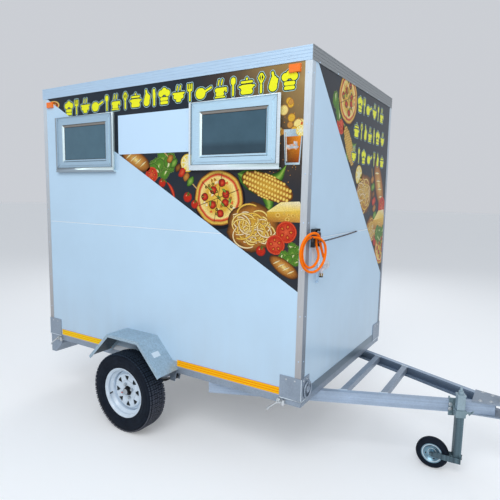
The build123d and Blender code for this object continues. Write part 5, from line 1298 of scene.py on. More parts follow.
def draw_tumbler(art, foot, high):
    """A plain tumbler of iced tea with a straw."""
    wide = high * 0.3
    glass = ((-0.78, 0), (0.78, 0), (1, 1), (-1, 1))
    tea = ((-0.68, 0.06), (0.68, 0.06), (0.86, 0.8), (-0.86, 0.8))
    straw = [shifted(foot, wide * 0.2, high * 0.3), shifted(foot, wide * 0.9, high * 1.18)]
    gleam = [shifted(foot, -wide * 0.62, high * 0.1), shifted(foot, -wide * 0.78, high * 0.92)]
    art.band(straw, high * 0.05, ("tomato", "blush", "tomato"))
    art.patch(foot, wide, high, glass, ("glassy", "ice", "glassy", "ice"))
    art.patch(foot, wide, high, tea, ("umber", "amber", "ember", "amber"))
    for along, up, share in art.scatter(5, shifted(foot, 0, high * 0.55), (wide * 0.5, high * 0.16)):
        corners = [on_oval((0, 0), 1, 1, angle, share * 3) for angle in (0.8, 2.4, 3.9, 5.5)]
        art.patch((along, up), high * 0.09, high * 0.09, corners, ("ice", "ember", "glassy", "ember"))
    art.band(gleam, high * 0.035, ("ice", "cream", "amber"))
    draw_lemon(art, shifted(foot, wide * 0.8, high * 0.95), high * 0.16)


def draw_chilli(art, start, length, turn):
    path = [shifted(start, *place, turn) for place in arc((0, -length), length, 90, 35, 12)]
    art.band(path, length * 0.16, ("salami", "tomato", "blush", "tomato", "salami"), 0.85)
    art.bar(path[0], shifted(path[0], -length * 0.16, 0.0, turn), length * 0.02, "leaf", 1.0)


def draw_skewer(art, start, end, size):
    """Grilled pieces and vegetables on a stick."""
    art.bar(start, end, size * 0.08, "wood", 1.0)
    turn = math.atan2(end[1] - start[1], end[0] - start[0])
    run = math.dist(start, end)
    count = int(run * 0.8 / (size * 0.8))
    kinds = (
        ("bread", "crust", "umber"), ("sprout", "leaf", "fern"), ("crust", "burnt", "night"),
        ("blush", "tomato", "salami"),
    )
    for index in range(count):
        spot = shifted(start, run * (0.12 + 0.76 * (index + 0.5) / count), 0.0, turn)
        rings = tuple(zip((0, 0.75, 1.0), kinds[index % 4]))
        art.fan(spot, (size * 0.44, size * (0.72 if index % 2 else 0.62)), rings, 0.08, 4, turn, 14)


def draw_roll(art, centre, size, turn):
    """A long bread roll with cuts across its top."""
    rings = ((0, "butter"), (0.35, "bread"), (0.75, "crust"), (0.95, "burnt"), (1.0, "umber"))
    art.fan(centre, (size, size * 0.42), rings, 0.02, 3, turn, 32)
    for share in (-0.5, -0.17, 0.17, 0.5):
        spot = shifted(centre, size * share, 0.0, turn)
        start, end = arc(spot, size * 0.24, math.degrees(turn + 1.0), math.degrees(turn + 1.0) + 180, 1)
        art.band([start, spot, end], size * 0.12, ("burnt", "cream", "butter", "crust"), 0.9)


def draw_cherry(art, centre, size):
    """A small round tomato with its stalk star."""
    art.fan(centre, (size, size * 0.95), ((0, "tomato"), (0.7, "tomato"), (1.0, "salami")), 0.01, 3)
    gleam = ((0, "cream"), (0.5, "blush"), (1.0, "tomato"))
    art.fan(shifted(centre, -size * 0.3, size * 0.3), (size * 0.26, size * 0.2), gleam, turn=0.7, steps=12)
    for turn in (0.4, 1.6, 2.8, 4.0, 5.2):
        draw_leaf(art, shifted(centre, size * 0.2, size * 0.6), size * 0.5, turn, ("fern", "leaf", "fern"))


def draw_badge(art, centre, size):
    """A small oval badge with a bread roll."""
    art.fan(centre, (size, size * 0.44), ((0, "tomato"), (0.8, "tomato"), (0.82, "butter"), (1.0, "gold")))
    draw_roll(art, centre, size * 0.68, 0.1)


def draw_bokeh(art, count, centre, size, reach):
    """Soft lights out of focus."""
    for along, up, share in art.scatter(count, centre, size):
        radius = reach * (0.4 + 0.6 * share)
        ink = ("bread", "gold", "butter")[int(share * 3)]
        art.fan((along, up), (radius, radius), ((0, ink), (0.75, ink), (1.0, "crust")), steps=18)


def draw_sparks(art, count, centre, size):
    level = art.level
    for along, up, share in art.scatter(count, centre, size):
        art.level = level + share
        radius = 0.0012 + 0.0026 * share
        art.fan((along, up), (radius, radius), ((0, "butter"), (0.6, "ember"), (1.0, "umber")), steps=6)


# Pictograms: a width, and bars from one point to another with a radius, in a box one unit high

PICTOGRAMS = {
    "fork": (
        0.46, (0.2, 0.05, 0.2, 0.55, 0.055), (0.2, 0.6, 0.2, 0.95, 0.04), (0.05, 0.68, 0.05, 0.95, 0.04),
        (0.35, 0.68, 0.35, 0.95, 0.04), (0.08, 0.62, 0.32, 0.62, 0.06),
    ),
    "spoon": (0.42, (0.2, 0.05, 0.2, 0.6, 0.055), (0.2, 0.74, 0.2, 0.84, 0.15)),
    "knife": (
        0.34, (0.16, 0.06, 0.16, 0.4, 0.08), (0.14, 0.48, 0.14, 0.9, 0.09), (0.2, 0.48, 0.2, 0.72, 0.07),
    ),
    "pot": (
        1.0, (0.25, 0.16, 0.75, 0.16, 0.13), (0.23, 0.4, 0.77, 0.4, 0.13), (0.18, 0.66, 0.82, 0.66, 0.06),
        (0.5, 0.82, 0.5, 0.82, 0.07), (0.04, 0.44, 0.12, 0.44, 0.05), (0.88, 0.44, 0.96, 0.44, 0.05),
    ),
    "pan": (1.15, (0.32, 0.36, 0.42, 0.36, 0.3), (0.72, 0.46, 1.1, 0.62, 0.06)),
    "cup": (
        0.95, (0.24, 0.2, 0.6, 0.2, 0.1), (0.2, 0.42, 0.64, 0.42, 0.12), (0.82, 0.46, 0.84, 0.32, 0.05),
        (0.74, 0.5, 0.84, 0.48, 0.05), (0.12, 0.04, 0.74, 0.04, 0.04), (0.3, 0.7, 0.36, 0.94, 0.04),
        (0.52, 0.7, 0.58, 0.94, 0.04),
    ),
    "hat": (
        0.95, (0.26, 0.1, 0.7, 0.1, 0.09), (0.26, 0.32, 0.7, 0.32, 0.1), (0.22, 0.64, 0.22, 0.64, 0.2),
        (0.48, 0.76, 0.48, 0.76, 0.21), (0.74, 0.64, 0.74, 0.64, 0.2),
    ),
    "whisk": (
        0.5, (0.24, 0.05, 0.24, 0.4, 0.065), (0.24, 0.48, 0.08, 0.78, 0.035), (0.08, 0.78, 0.2, 0.98, 0.035),
        (0.2, 0.98, 0.3, 0.98, 0.035), (0.3, 0.98, 0.42, 0.78, 0.035), (0.42, 0.78, 0.24, 0.48, 0.035),
        (0.24, 0.48, 0.24, 0.96, 0.03),
    ),
    "bowl": (
        1.0, (0.1, 0.52, 0.9, 0.52, 0.06), (0.24, 0.34, 0.76, 0.34, 0.13), (0.4, 0.14, 0.6, 0.14, 0.1),
        (0.36, 0.72, 0.42, 0.94, 0.04), (0.6, 0.72, 0.66, 0.94, 0.04),
    ),
    "flame": (
        0.62, (0.3, 0.26, 0.3, 0.26, 0.25), (0.26, 0.4, 0.34, 0.62, 0.17), (0.34, 0.62, 0.26, 0.94, 0.07),
        (0.5, 0.4, 0.54, 0.6, 0.06),
    ),
}


def draw_row(art, names, start, end, foot, high):
    """A line of pictograms, evenly spaced, with a dark edge and a pale one round it."""
    signs = [PICTOGRAMS[name] for name in names.split()]
    gap = (end - start - sum(sign[0] for sign in signs) * high) / (len(signs) - 1)
    base = art.level
    for rise, (margin, ink) in enumerate(((0.085, "mist"), (0.055, "teal"), (0.0, colour_of("motif")))):
        place = start
        for width, *lines in signs:
            art.level = base + rise
            for left, low, right, top, radius in lines:
                first = (place + left * high, foot + low * high)
                last = (place + right * high, foot + top * high)
                art.bar(first, last, (radius + margin) * high, ink)
            place += width * high + gap
    art.level = base + 3


# Where the film lies, in metres from the cabin's middle and over the ground. An edge is a point of it

FILM_LOW = 1.0
FILM_TOP = 2.6
SIDE_ENDS = (-1.16, 1.158)
SIDE_EDGE = (-0.365, 2.022)
SIDE_SLOPE = 0.5655
FRONT_END = 0.758
FRONT_EDGE = (-0.719, 2.466)
FRONT_SLOPE = 0.941
WINDOW_RIM = Vector((0.03, 0, 0.03))

# The motifs: the level each starts at, how it is drawn, its place and its size

SIDE_MOTIFS = (
    (2, draw_bokeh, 14, (1.06, 2.2), (0.1, 0.18), 0.032),
    (2, draw_sparks, 70, (0.25, 2.08), (0.55, 0.2)),
    (2, draw_sparks, 60, (1.0, 2.05), (0.16, 0.28)),
    (3, draw_salad, (0.13, 1.9), 0.15),
    (5, draw_roll, (-0.15, 1.955), 0.15, -0.42),
    (5, draw_tomato, (0.00, 1.85), 0.055),
    (5.5, draw_cherry, (0.1, 1.795), 0.032),
    (5, draw_skewer, (0.12, 2.00), (0.4, 1.76), 0.055),
    (5, draw_lemon, (0.325, 1.925), 0.06, 0.3),
    (5.5, draw_chilli, (0.14, 1.8), 0.16, -0.6),
    (5, draw_cherry, (0.325, 1.7), 0.036),
    (5, draw_cherry, (0.385, 1.655), 0.03),
    (2.5, draw_pizza, (0.575, 1.7), 0.19),
    (6, draw_corn, (0.93, 1.775), 0.36, -0.35),
    (6.5, draw_noodles, (0.835, 1.525), 0.19),
    (9.5, draw_cheese, (1.055, 1.625), 0.12),
    (10.2, draw_tomato, (1.07, 1.51), 0.065),
    (10.8, draw_tomato, (1.000, 1.43), 0.06, 0.5),
    (11.4, draw_salad, (1.105, 1.375), 0.1),
    (13.2, draw_roll, (1.06, 1.3), 0.11, -0.5),
    (9, draw_cherry, (0.9, 1.385), 0.034),
    (8, draw_tumbler, (1.095, 1.9), 0.2),
    (9, draw_badge, (-1.075, 2.408), 0.082),
    (
        10, draw_row,
        "hat fork bowl pan spoon cup whisk pot flame knife hat bowl fork pan cup spoon pot whisk flame hat",
        -0.93, 1.115, 2.318, 0.112,
    ),
)
FRONT_MOTIFS = (
    (2, draw_sparks, 80, (0.3, 1.9), (0.4, 0.5)),
    (3, draw_salad, (-0.32, 2.34), 0.18),
    (5, draw_pizza, (-0.22, 2.36), 0.17),
    (3, draw_tomato, (-0.33, 2.19), 0.07),
    (3, draw_corn, (-0.17, 2.06), 0.3, -0.9),
    (3, draw_noodles, (0.2, 1.745), 0.19),
    (6, draw_roll, (0.57, 1.82), 0.23, -0.95),
    (7, draw_skewer, (0.36, 1.94), (0.52, 1.5), 0.07),
    (3, draw_lemon, (0.06, 1.88), 0.07),
    (8, draw_tomato, (0.68, 1.64), 0.09),
    (9, draw_cheese, (0.62, 1.54), 0.15),
    (6.5, draw_noodles, (0.42, 1.47), 0.14, 36),
    (10, draw_salad, (0.67, 1.43), 0.13),
    (10, draw_pizza, (0.7, 1.3), 0.15),
    (9, draw_cherry, (0.53, 1.37), 0.045),
    (10, draw_row, "hat fork pan bowl spoon cup", -0.04, 0.59, 2.312, 0.108),
    (10, draw_row, "pot whisk flame cup knife hat bowl", -0.09, 0.644, 2.134, 0.105),
    (10, draw_row, "bowl spoon hat pan fork flame pot", -0.12, 0.66, 1.966, 0.1),
)


def lay_film(name, art, reach, cuts, holes, motifs):
    """The printed ground of a wall, and the motifs on it."""
    cuts = [*cuts, ((0, 0, TRIM_LOW_Z), (0, 0, 1))]
    corners = ((-reach, FILM_TOP), (-reach, FILM_LOW), (reach, FILM_LOW), (reach, FILM_TOP))
    mesh = bpy.data.meshes.new(name + "_film")
    mesh.from_pydata([tuple(art.on_wall(*corner, 1)) for corner in corners], [], [(0, 1, 2, 3)])
    trimmed(mesh, cuts, holes, art.outward)
    fitted(linked(name + "_film", mesh), "film")
    for level, draw, *values in motifs:
        art.level = level
        draw(art, *values)
    art.piece(name + "_print", cuts, holes)


class TRAILER_OT_print_side(bpy.types.Operator):
    """Lay the printed film on the right side"""

    bl_idname = "trailer.print_side"
    bl_label = "Print the right side"

    def execute(self, context):
        cuts = [
            (at(SIDE_ENDS[1], 0, 0), (1, 0, 0)),
            (at(SIDE_ENDS[0], 0, 0), (-1, 0, 0)),
            (at(SIDE_EDGE[0], 0, SIDE_EDGE[1]), (-SIDE_SLOPE, 0, -1)),
        ]
        holes = [(low + WINDOW_RIM, high - WINDOW_RIM) for low, high in solids("window_frames")]
        art = Print(at(0, RIGHT_Y, 0), (1, 0, 0), (0, -1, 0), 4)
        lay_film("side", art, 1.2, cuts, holes, SIDE_MOTIFS)
        return {"FINISHED"}


class TRAILER_OT_print_front(bpy.types.Operator):
    """Lay the printed film on the front"""

    bl_idname = "trailer.print_front"
    bl_label = "Print the front"

    def execute(self, context):
        cuts = [
            ((0, FRONT_END, 0), (0, 1, 0)),
            ((FRONT_X, *FRONT_EDGE), (0, -FRONT_SLOPE, -1)),
        ]
        art = Print((FRONT_X, 0, 0), (0, 1, 0), (1, 0, 0), 9)
        lay_film("front", art, 0.8, cuts, (), FRONT_MOTIFS)
        return {"FINISHED"}


# Small fixed pieces

# Kept between faces that would lie on each other, and the step of a thin line from its face
GAP = 0.0002
SKIN = 0.0001
# How far outside a node a line starts that looks for its face
NEAR = 0.05
FAR = 0.1

# Windows: beads, seals, bright rims, the painted shadow lines inside them and the mitres
BEAD_WIDTH = 0.013
BEAD_SINK = 0.0012
SEAL_WIDTH = 0.0026
SEAL_DEPTH = 0.0006
RIM_DEPTH = 0.001
RIM_EDGE = 0.0006
RIM_WIDTHS = {"rear": 0.016, "front": 0.022, "top": 0.005, "foot": 0.033}
SHADOWS = {"foot": 0.0022, "front": 0.003, "rear": 0.0012}
MITRE_REACH = 0.032
MITRE_WIDTH = 0.0006
MITRE_LENGTH = MITRE_REACH * math.sqrt(2)


def rectangle(low, high, inset=0.0):
    """The corners of an upright rectangle, as distances along and up."""
    return [
        (low.x + inset, low.z + inset), (high.x - inset, low.z + inset),
        (high.x - inset, high.z - inset), (low.x + inset, high.z - inset),
    ]


def sloped_ring(shape, outline, inner, face, glass):
    """Glazing beads that slope from the sash's face to the glass, mitred at the corners."""
    points = []
    for (x, z), (x_in, z_in) in zip(outline, inner):
        points += [(x, face, z), (x_in, glass, z_in), (x, glass, z)]
    faces = []
    for corner in range(4):
        here = corner * 3
        there = (corner + 1) % 4 * 3
        for edge in range(3):
            after = (edge + 1) % 3
            faces.append((here + edge, here + after, there + after, there + edge))
    shape.add(points, faces)


class TRAILER_OT_fit_windows(bpy.types.Operator):
    """Fit glazing beads, seals, bright rims, painted shadow lines and mitre lines to the windows"""

    bl_idname = "trailer.fit_windows"
    bl_label = "Fit the windows"

    def execute(self, context):
        seal = Shape()
        bead = Shape()
        rims = Shape()
        lines = []
        for (low, high), (pane_low, pane_high) in zip(solids("window_sashes"), solids("window_glass")):
            glass = pane_low.y
            outline = rectangle(pane_low, pane_high, GAP)
            sloped_ring(bead, outline, rectangle(pane_low, pane_high, BEAD_WIDTH), low.y + BEAD_SINK, glass)
            seal_low = (pane_low.x + BEAD_WIDTH, glass - BEAD_SINK, pane_low.z + BEAD_WIDTH)
            seal_high = (pane_high.x - BEAD_WIDTH, glass, pane_high.z - BEAD_WIDTH)
            seal.frame(seal_low, seal_high, SEAL_WIDTH, 1)
        for low, high in solids("window_frames"):
            face = low.y
            rear = low.x + RIM_EDGE
            front = high.x - RIM_EDGE
            start = Vector((low.x + RIM_WIDTHS["rear"], face, low.z + RIM_WIDTHS["foot"]))
            end = Vector((high.x - RIM_WIDTHS["front"], face, high.z - RIM_WIDTHS["top"]))
            for first, last in (
                ((rear, low.z + RIM_EDGE), (front, start.z)),
                ((rear, end.z), (front, high.z - RIM_EDGE)),
                ((rear, start.z), (start.x, end.z)),
                ((end.x, start.z), (front, end.z)),
            ):
                rims.box((first[0], face - RIM_DEPTH, first[1]), (last[0], face, last[1]))
            # Painted shadow: dark lines in the seal's black along the foot, front and rear inside the rims
            for first, last in (
                ((start.x, start.z), (end.x, start.z + SHADOWS["foot"])),
                ((end.x - SHADOWS["front"], start.z), (end.x, end.z)),
                ((start.x, start.z), (start.x + SHADOWS["rear"], end.z)),
            ):
                seal.box((first[0], face - SEAL_DEPTH, first[1]), (last[0], face, last[1]))
            for x, x_way in ((start.x, 1), (end.x, -1)):
                for z, z_way in ((start.z, 1), (end.z, -1)):
                    place = (x + x_way * MITRE_REACH / 2, face - SKIN, z + z_way * MITRE_REACH / 2)
                    turn = (0.0, -x_way * z_way * math.pi / 4, 0.0)
                    lines.append((place, (MITRE_LENGTH, MITRE_WIDTH, MITRE_WIDTH), turn))
        bead.piece("window_beads", "window_aluminium")
        rims.piece("window_rims", "sill", bevel=0.0004)
        seal.piece("window_seals", "seal")
        bars("window_mitres", lines, "seal")
        return {"FINISHED"}


# Tape: its spans from the cabin's middle, its place on the trim, and its ribs
TAPE_SPANS = {"rear": (-1.045, -0.44), "front": (0.236, 1.055)}
TAPE_RISE = 0.0015
TAPE_LANES = 3
TAPE_SHARE = 0.66
TAPE_DEPTH = 0.0006
TAPE_RIB_DEPTH = 0.0012
TAPE_RIB_OUT = 0.0008


class TRAILER_OT_stick_tape(bpy.types.Operator):
    """Stick ribbed reflective tape on the base trims"""

    bl_idname = "trailer.stick_tape"
    bl_label = "Stick the reflective tape"

    def execute(self, context):
        low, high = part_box("base_trims")
        height = sizes().tape
        foot = (low.z + high.z) / 2 + TAPE_RISE - height / 2
        pitch = height / TAPE_LANES
        for key, (start, end) in TAPE_SPANS.items():
            for side, way, face in (("right", -1, low.y), ("left", 1, high.y)):
                film = Shape().box(at(start, face, foot), at(end, face + way * TAPE_DEPTH, foot + height))
                film.piece("tape_ground_" + key + "_" + side, "tape_ground")
                size = (end - start, TAPE_RIB_DEPTH, pitch * TAPE_SHARE)
                lanes = []
                for lane in range(TAPE_LANES):
                    place = at((start + end) / 2, face + way * TAPE_RIB_OUT, foot + pitch * (lane + 0.5))
                    lanes.append((place, size, (0.0, 0.0, 0.0)))
                bars("tape_ribs_" + key + "_" + side, lanes, "tape_" + key)
        return {"FINISHED"}


# Rivets of the roof and corner trims, and the screws of the corner plates
TRIM_INSET = 0.09
TRIM_RISE = 0.0045
POST_INSET = 0.021
POST_SPAN = (0.74, 2.4)
PLATE_SCREW_DOWN = 0.02


def wall_rivets():
    """Rivets of the roof and corner trims, along every edge of the cabin."""
    spots = []
    pitch = sizes().rivet_pitch
    up = TRIM_LOW_Z + TRIM_RISE
    walls = (
        (0, (RIGHT_Y, LEFT_Y), (REAR_X, FRONT_X)),
        (1, (REAR_X, FRONT_X), (RIGHT_Y, LEFT_Y)),
    )
    for axis, faces, (first, last) in walls:
        for way, wall in zip((-1, 1), faces):
            places = [(place, up, "roof_trim") for place in row(first + TRIM_INSET, last - TRIM_INSET, pitch)]
            for end in (first + POST_INSET, last - POST_INSET):
                places += [(end, place, "corner_trims") for place in row(*POST_SPAN, pitch)]
            for place, height, name in places:
                start = [wall + way * FAR, wall + way * FAR, height]
                start[axis] = place
                line = [-way, -way, 0]
                line[axis] = 0
                spots.append(on_skin(name, start, line))
    return spots


def plate_screws():
    """Two screws along the top of each leg of the four corner plates."""
    spots = []
    for low, high in solids("corner_plates"):
        x_way, x_edge, x_inner = outer(low, high, 0)
        y_way, y_edge, y_inner = outer(low, high, 1)
        up = high.z - PLATE_SCREW_DOWN
        for share in (0.3, 0.7):
            x = x_edge + (x_inner - x_edge) * share
            spots.append(on_skin("corner_plates", (x, y_edge + y_way * NEAR, up), (0, -y_way, 0)))
            y = y_edge + (y_inner - y_edge) * share
            spots.append(on_skin("corner_plates", (x_edge + x_way * NEAR, y, up), (-x_way, 0, 0)))
    return spots


def corner_spots(name, first_inset, second_inset, axis):
    """Four spots near the corners of each solid of a node, on its low side along the axis."""
    spots = []
    first, second = [index for index in range(3) if index != axis]
    line = [0.0, 0.0, 0.0]
    line[axis] = 1.0
    for low, high in solids(name):
        for one in (low[first] + first_inset, high[first] - first_inset):
            for other in (low[second] + second_inset, high[second] - second_inset):
                start = [low[axis] - FAR] * 3
                start[first] = one
                start[second] = other
                spots.append(on_skin(name, start, line))
    return spots


# Welds, rail caps, leg sockets with their nut, guide and plate, the painted shade in the tie ring's recess,
# and seams with a painted highlight
WELD_DEPTH = 0.0012
WELD_WIDTH = 0.005
WELD_OVERLAP = 0.0022
CAP_DEPTH = 0.0015
SOCKET_INSET = 0.012
SOCKET_DEPTH = 0.017
SOCKET_RADIUS = 0.0165
NUT_DEPTH = 0.007
NUT_RADIUS = 0.0125
GUIDE_PLACE = (0.028, 0.0105)
GUIDE_SPAN = (-0.022, 0.012)
GUIDE_RADIUS = 0.01
PLATE_LOW = (-0.016, -0.016)
PLATE_HIGH = (0.04, 0.012)
PLATE_DEPTH = 0.003
KNOB_PROFILE = (
    (NEAR_AXIS, 0.0), (0.026, 0.0), (0.025, 0.004), (0.018, 0.0085), (0.008, 0.011), (NEAR_AXIS, 0.0115),
)
SHADE_DISC_DEPTH = 0.0012
SHADE_DISC_INSET = 0.012
KNOB_OFFSET = 0.01
SEAM_UP = 0.974
HATCH_MARGIN = 0.01
SEAM_DEPTH = 0.0013
SEAM_END = 0.05
SEAM_LOW = -0.002
SEAM_HIGH = 0.0012


class TRAILER_OT_trim_corners(bpy.types.Operator):
    """Fit the welds of the corner plates, the leg sockets, the painted shade in the ring's recess and the
    panel seams' painted highlights
    """

    bl_idname = "trailer.trim_corners"
    bl_label = "Trim the corners"

    def execute(self, context):
        self.lay_welds()
        caps = Shape()
        for low, high in solids("side_rails"):
            for end, out in ((low.x, low.x - CAP_DEPTH), (high.x, high.x + CAP_DEPTH)):
                caps.box((end, low.y + GAP, low.z + GAP), (out, high.y - GAP, high.z - GAP))
        caps.piece("rail_caps", "galvanised")
        sockets = Shape()
        for low, high in solids("leg_clamps"):
            way, _, wall = outer(low, high, 1)
            middle = Vector((high.x - SOCKET_INSET, wall, high.z - SOCKET_INSET))
            rim = middle + Vector((0, way * SOCKET_DEPTH, 0))
            sockets.rod(middle, rim, SOCKET_RADIUS, 24)
            sockets.rod(rim, rim + Vector((0, way * NUT_DEPTH, 0)), NUT_RADIUS, 6)
            along, across = GUIDE_PLACE
            foot, top = [middle + Vector((along, way * across, up)) for up in GUIDE_SPAN]
            sockets.rod(foot, top, GUIDE_RADIUS, 20)
            start = middle + Vector((PLATE_LOW[0], 0, PLATE_LOW[1]))
            sockets.box(start, middle + Vector((PLATE_HIGH[0], way * PLATE_DEPTH, PLATE_HIGH[1])))
        sockets.piece("clamp_sockets", "zinc", bevel=0.0006)
        # Painted shade: a dark disc in the tie ring's recess, with the knob on it
        low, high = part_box("tie_ring")
        reach = (high.y - low.y) / 2
        foot = Vector((low.x, low.y + reach, low.z + reach))
        face = foot + Vector((SHADE_DISC_DEPTH, 0, 0))
        Shape().rod(foot, face, reach - SHADE_DISC_INSET, 40).piece("tie_ring_cup", "cup")
        knob = Shape().turned(KNOB_PROFILE, face + Vector((0, KNOB_OFFSET, 0)), (1, 0, 0), 32)
        knob.piece("tie_ring_knob", "galvanised", smooth=True)
        # Painted highlight: light strips in the panel seams, whiter than the sheet
        seam = Shape()
        up = FLOOR_Z + SEAM_UP
        hatch_low, hatch_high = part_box("hatch_frame")
        rear = REAR_X + SEAM_END
        front = FRONT_X - SEAM_END
        for (start, end), (first, last) in (
            ((rear, front), (RIGHT_Y + SKIN, RIGHT_Y + SEAM_DEPTH)),
            ((rear, hatch_low.x - HATCH_MARGIN), (LEFT_Y - SEAM_DEPTH, LEFT_Y - SKIN)),
            ((hatch_high.x + HATCH_MARGIN, front), (LEFT_Y - SEAM_DEPTH, LEFT_Y - SKIN)),
            ((FRONT_X - SEAM_DEPTH, FRONT_X - SKIN), (RIGHT_Y + SEAM_END, LEFT_Y - SEAM_END)),
        ):
            seam.box((start, first, up + SEAM_LOW), (end, last, up + SEAM_HIGH))
        seam.piece("panel_seams", "seam")
        return {"FINISHED"}

    def lay_welds(self):
        """Weld beads under the foot and up the corner of each corner plate."""
        beads = Shape()
        for low, high in solids("corner_plates"):
            x_way, x_face, x_inner = outer(low, high, 0)
            y_way, y_face, y_inner = outer(low, high, 1)
            x_out = x_face + x_way * WELD_DEPTH
            y_out = y_face + y_way * WELD_DEPTH
            for x, x_end, y, y_end in (
                (x_inner, x_face, y_face, y_out),
                (x_face, x_out, y_inner, y_face),
                (x_face, x_out, y_face, y_out),
            ):
                beads.box((x, y, low.z + GAP), (x_end, y_end, low.z + GAP + WELD_WIDTH))
            start = (x_face - x_way * WELD_OVERLAP, y_face - y_way * WELD_OVERLAP, low.z)
            beads.box(start, (x_out, y_out, high.z))
        beads.piece("corner_welds", "weld", bevel=0.0005)


# Screws and bolts, from the edges of their nodes, and the struts' welds
HINGE_INSET = 0.009
HATCH_SCREW = (0.012, 0.006)
LIGHT_BAR_SCREW_DOWN = 0.012
LIGHT_BAR_SCREWS = (-0.72, -0.24, 0.24, 0.72)
HITCH_BOLTS = ((0.045, 0.076), (0.105, 0.056))
COUPLER_BOLTS = (0.05, 0.115)
COUPLER_BOLT_UP = 0.02
CLAMP_OUT = Vector((0.411, -0.912, 0.0))
CLAMP_BOLTS = ((1.338, -0.164, 0.433), (1.338, -0.164, 0.404))
STRUT_SLOPE = 0.448
STRUT_WELD = (0.058, 0.01, 0.005)
STRUT_WELD_UP = 0.0006


def fitting_screws():
    """Screws of the door hinges, the hatch hinges and the light bar."""
    spots = []
    for low, high in solids("door_hinges"):
        for across in (low.y + HINGE_INSET, high.y - HINGE_INSET):
            spots.append(on_skin("door_hinges", (low.x - NEAR, across, (low.z + high.z) / 2), (1, 0, 0)))
    for low, high in solids("hatch_hinges"):
        for along in (low.x + HATCH_SCREW[0], high.x - HATCH_SCREW[0]):
            start = (along, high.y + NEAR, high.z - HATCH_SCREW[1])
            spots.append(on_skin("hatch_hinges", start, (0, -1, 0)))
    low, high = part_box("light_bar")
    for across in LIGHT_BAR_SCREWS:
        start = (low.x - NEAR, across, high.z - LIGHT_BAR_SCREW_DOWN)
        spots.append(on_skin("light_bar", start, (1, 0, 0)))
    return spots


def frame_bolts():
    """Bolts of the hitch plates, the coupler and the jockey wheel's clamp."""
    spots = []
    low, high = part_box("hitch_plates")
    for along, across in HITCH_BOLTS:
        for side in (-across, across):
            for up, way in ((high.z + FAR, -1), (low.z - FAR, 1)):
                spots.append(on_skin("hitch_plates", (low.x + along, side, up), (0, 0, way)))
    low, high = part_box("coupler_body")
    for along in COUPLER_BOLTS:
        for side in (-1, 1):
            start = (low.x + along, side * FAR, low.z + COUPLER_BOLT_UP)
            spots.append(on_skin("coupler_body", start, (0, -side, 0)))
    for place in CLAMP_BOLTS:
        spots.append(on_skin("jockey_clamp", Vector(place) + CLAMP_OUT * NEAR, -CLAMP_OUT))
    return spots


class TRAILER_OT_fit_fasteners(bpy.types.Operator):
    """Fit the rivets, screws and bolts"""

    bl_idname = "trailer.fit_fasteners"
    bl_label = "Fit the fasteners"

    def execute(self, context):
        values = sizes()
        heads("trim_rivets", wall_rivets(), values.rivet, 0.0018, "aluminium")
        heads("plate_screws", plate_screws(), values.screw, 0.003, "zinc")
        sign = corner_spots("sign_panel", 0.018, 0.018, 1)
        heads("sign_rivets", sign, values.rivet * 0.8, 0.0014, "aluminium")
        plate = corner_spots("number_plate", 0.06, 0.055, 0)
        heads("number_plate_screws", plate, values.screw, 0.0025, "zinc")
        heads("fitting_screws", fitting_screws(), values.screw * 0.8, 0.0022, "zinc")
        heads("frame_bolts", frame_bolts(), values.bolt, 0.0055, "zinc", kind="hex")
        welds = []
        for low, high in solids("drawbar_struts"):
            lean = (high.x - low.x) / 2 * STRUT_SLOPE
            for across, way in ((low.y + lean, 1), (high.y - lean, -1)):
                place = ((low.x + high.x) / 2, across, high.z + STRUT_WELD_UP)
                welds.append((place, STRUT_WELD, (0.0, 0.0, way * math.atan(STRUT_SLOPE))))
        bars("strut_welds", welds, "weld")
        return {"FINISHED"}


# Wheels

# Rows of the tread: distance across, width and skew in degrees, then the lugs on the shoulders
TREAD_ROWS = (
    (0.0, 0.014, 12.0), (0.0225, 0.014, -14.0), (-0.0225, 0.014, -14.0), (0.0465, 0.0175, 10.0),
    (-0.0465, 0.0175, 10.0),
)
TREAD_DEPTH = 0.0078
TREAD_SPLIT = 0.22
TREAD_SHARE = 0.31
LUG_OFFSET = 0.0665
LUG_WIDTH = 0.015
LUG_SINK = 0.0105
LUG_TILT = 38.0
# Turned profiles, as radius and distance across, then the valve as radius and distance
TYRE_HALF_PROFILE = (
    (0.17, 0.057), (0.183, 0.0625), (0.1875, 0.0665), (0.1895, 0.069), (0.1925, 0.069), (0.195, 0.07),
    (0.215, 0.0755), (0.2175, 0.077), (0.2205, 0.0772), (0.222, 0.0765), (0.236, 0.0785), (0.25, 0.0784),
    (0.252, 0.0774), (0.262, 0.0762), (0.264, 0.0768), (0.2715, 0.0728), (0.2775, 0.0675), (0.281, 0.06),
    (0.282, 0.045),
)
# A dark disc of painted shade behind the rim's vents, shaped like a brake drum
VENT_SHADE_PROFILE = (
    (0.0665, 0.025), (0.12, 0.025), (0.122, 0.027), (0.122, 0.056), (0.12, 0.058), (0.0665, 0.058),
)
VALVE_ANGLE = 195
VALVE_FOOT = (0.144, 0.034)
VALVE_TIP = (0.137, 0.062)
VALVE_RADIUS = 0.0045
VALVE_CAP = (0.62, 0.0058)
NUT_MARK = (0.05, 0.0055)
NUT_ANGLE = 204
# The jockey wheel's rim: radius and wire of its beads, which are painted as highlights, and its blind holes,
# drawn as black discs of painted shade, by angle
JOCKEY_RINGS = ((0.056, 0.003), (0.0245, 0.0018))
JOCKEY_HOLES = (20, 110, 200, 290)
JOCKEY_HOLE_CIRCLE = 0.04
JOCKEY_HOLE_RADIUS = 0.0058


def wheel_point(centre, radius, offset, degrees):
    """A point of a wheel, by its radius, its distance across and its angle from the front."""
    angle = math.radians(degrees)
    return centre + Vector((radius * math.cos(angle), offset, radius * math.sin(angle)))


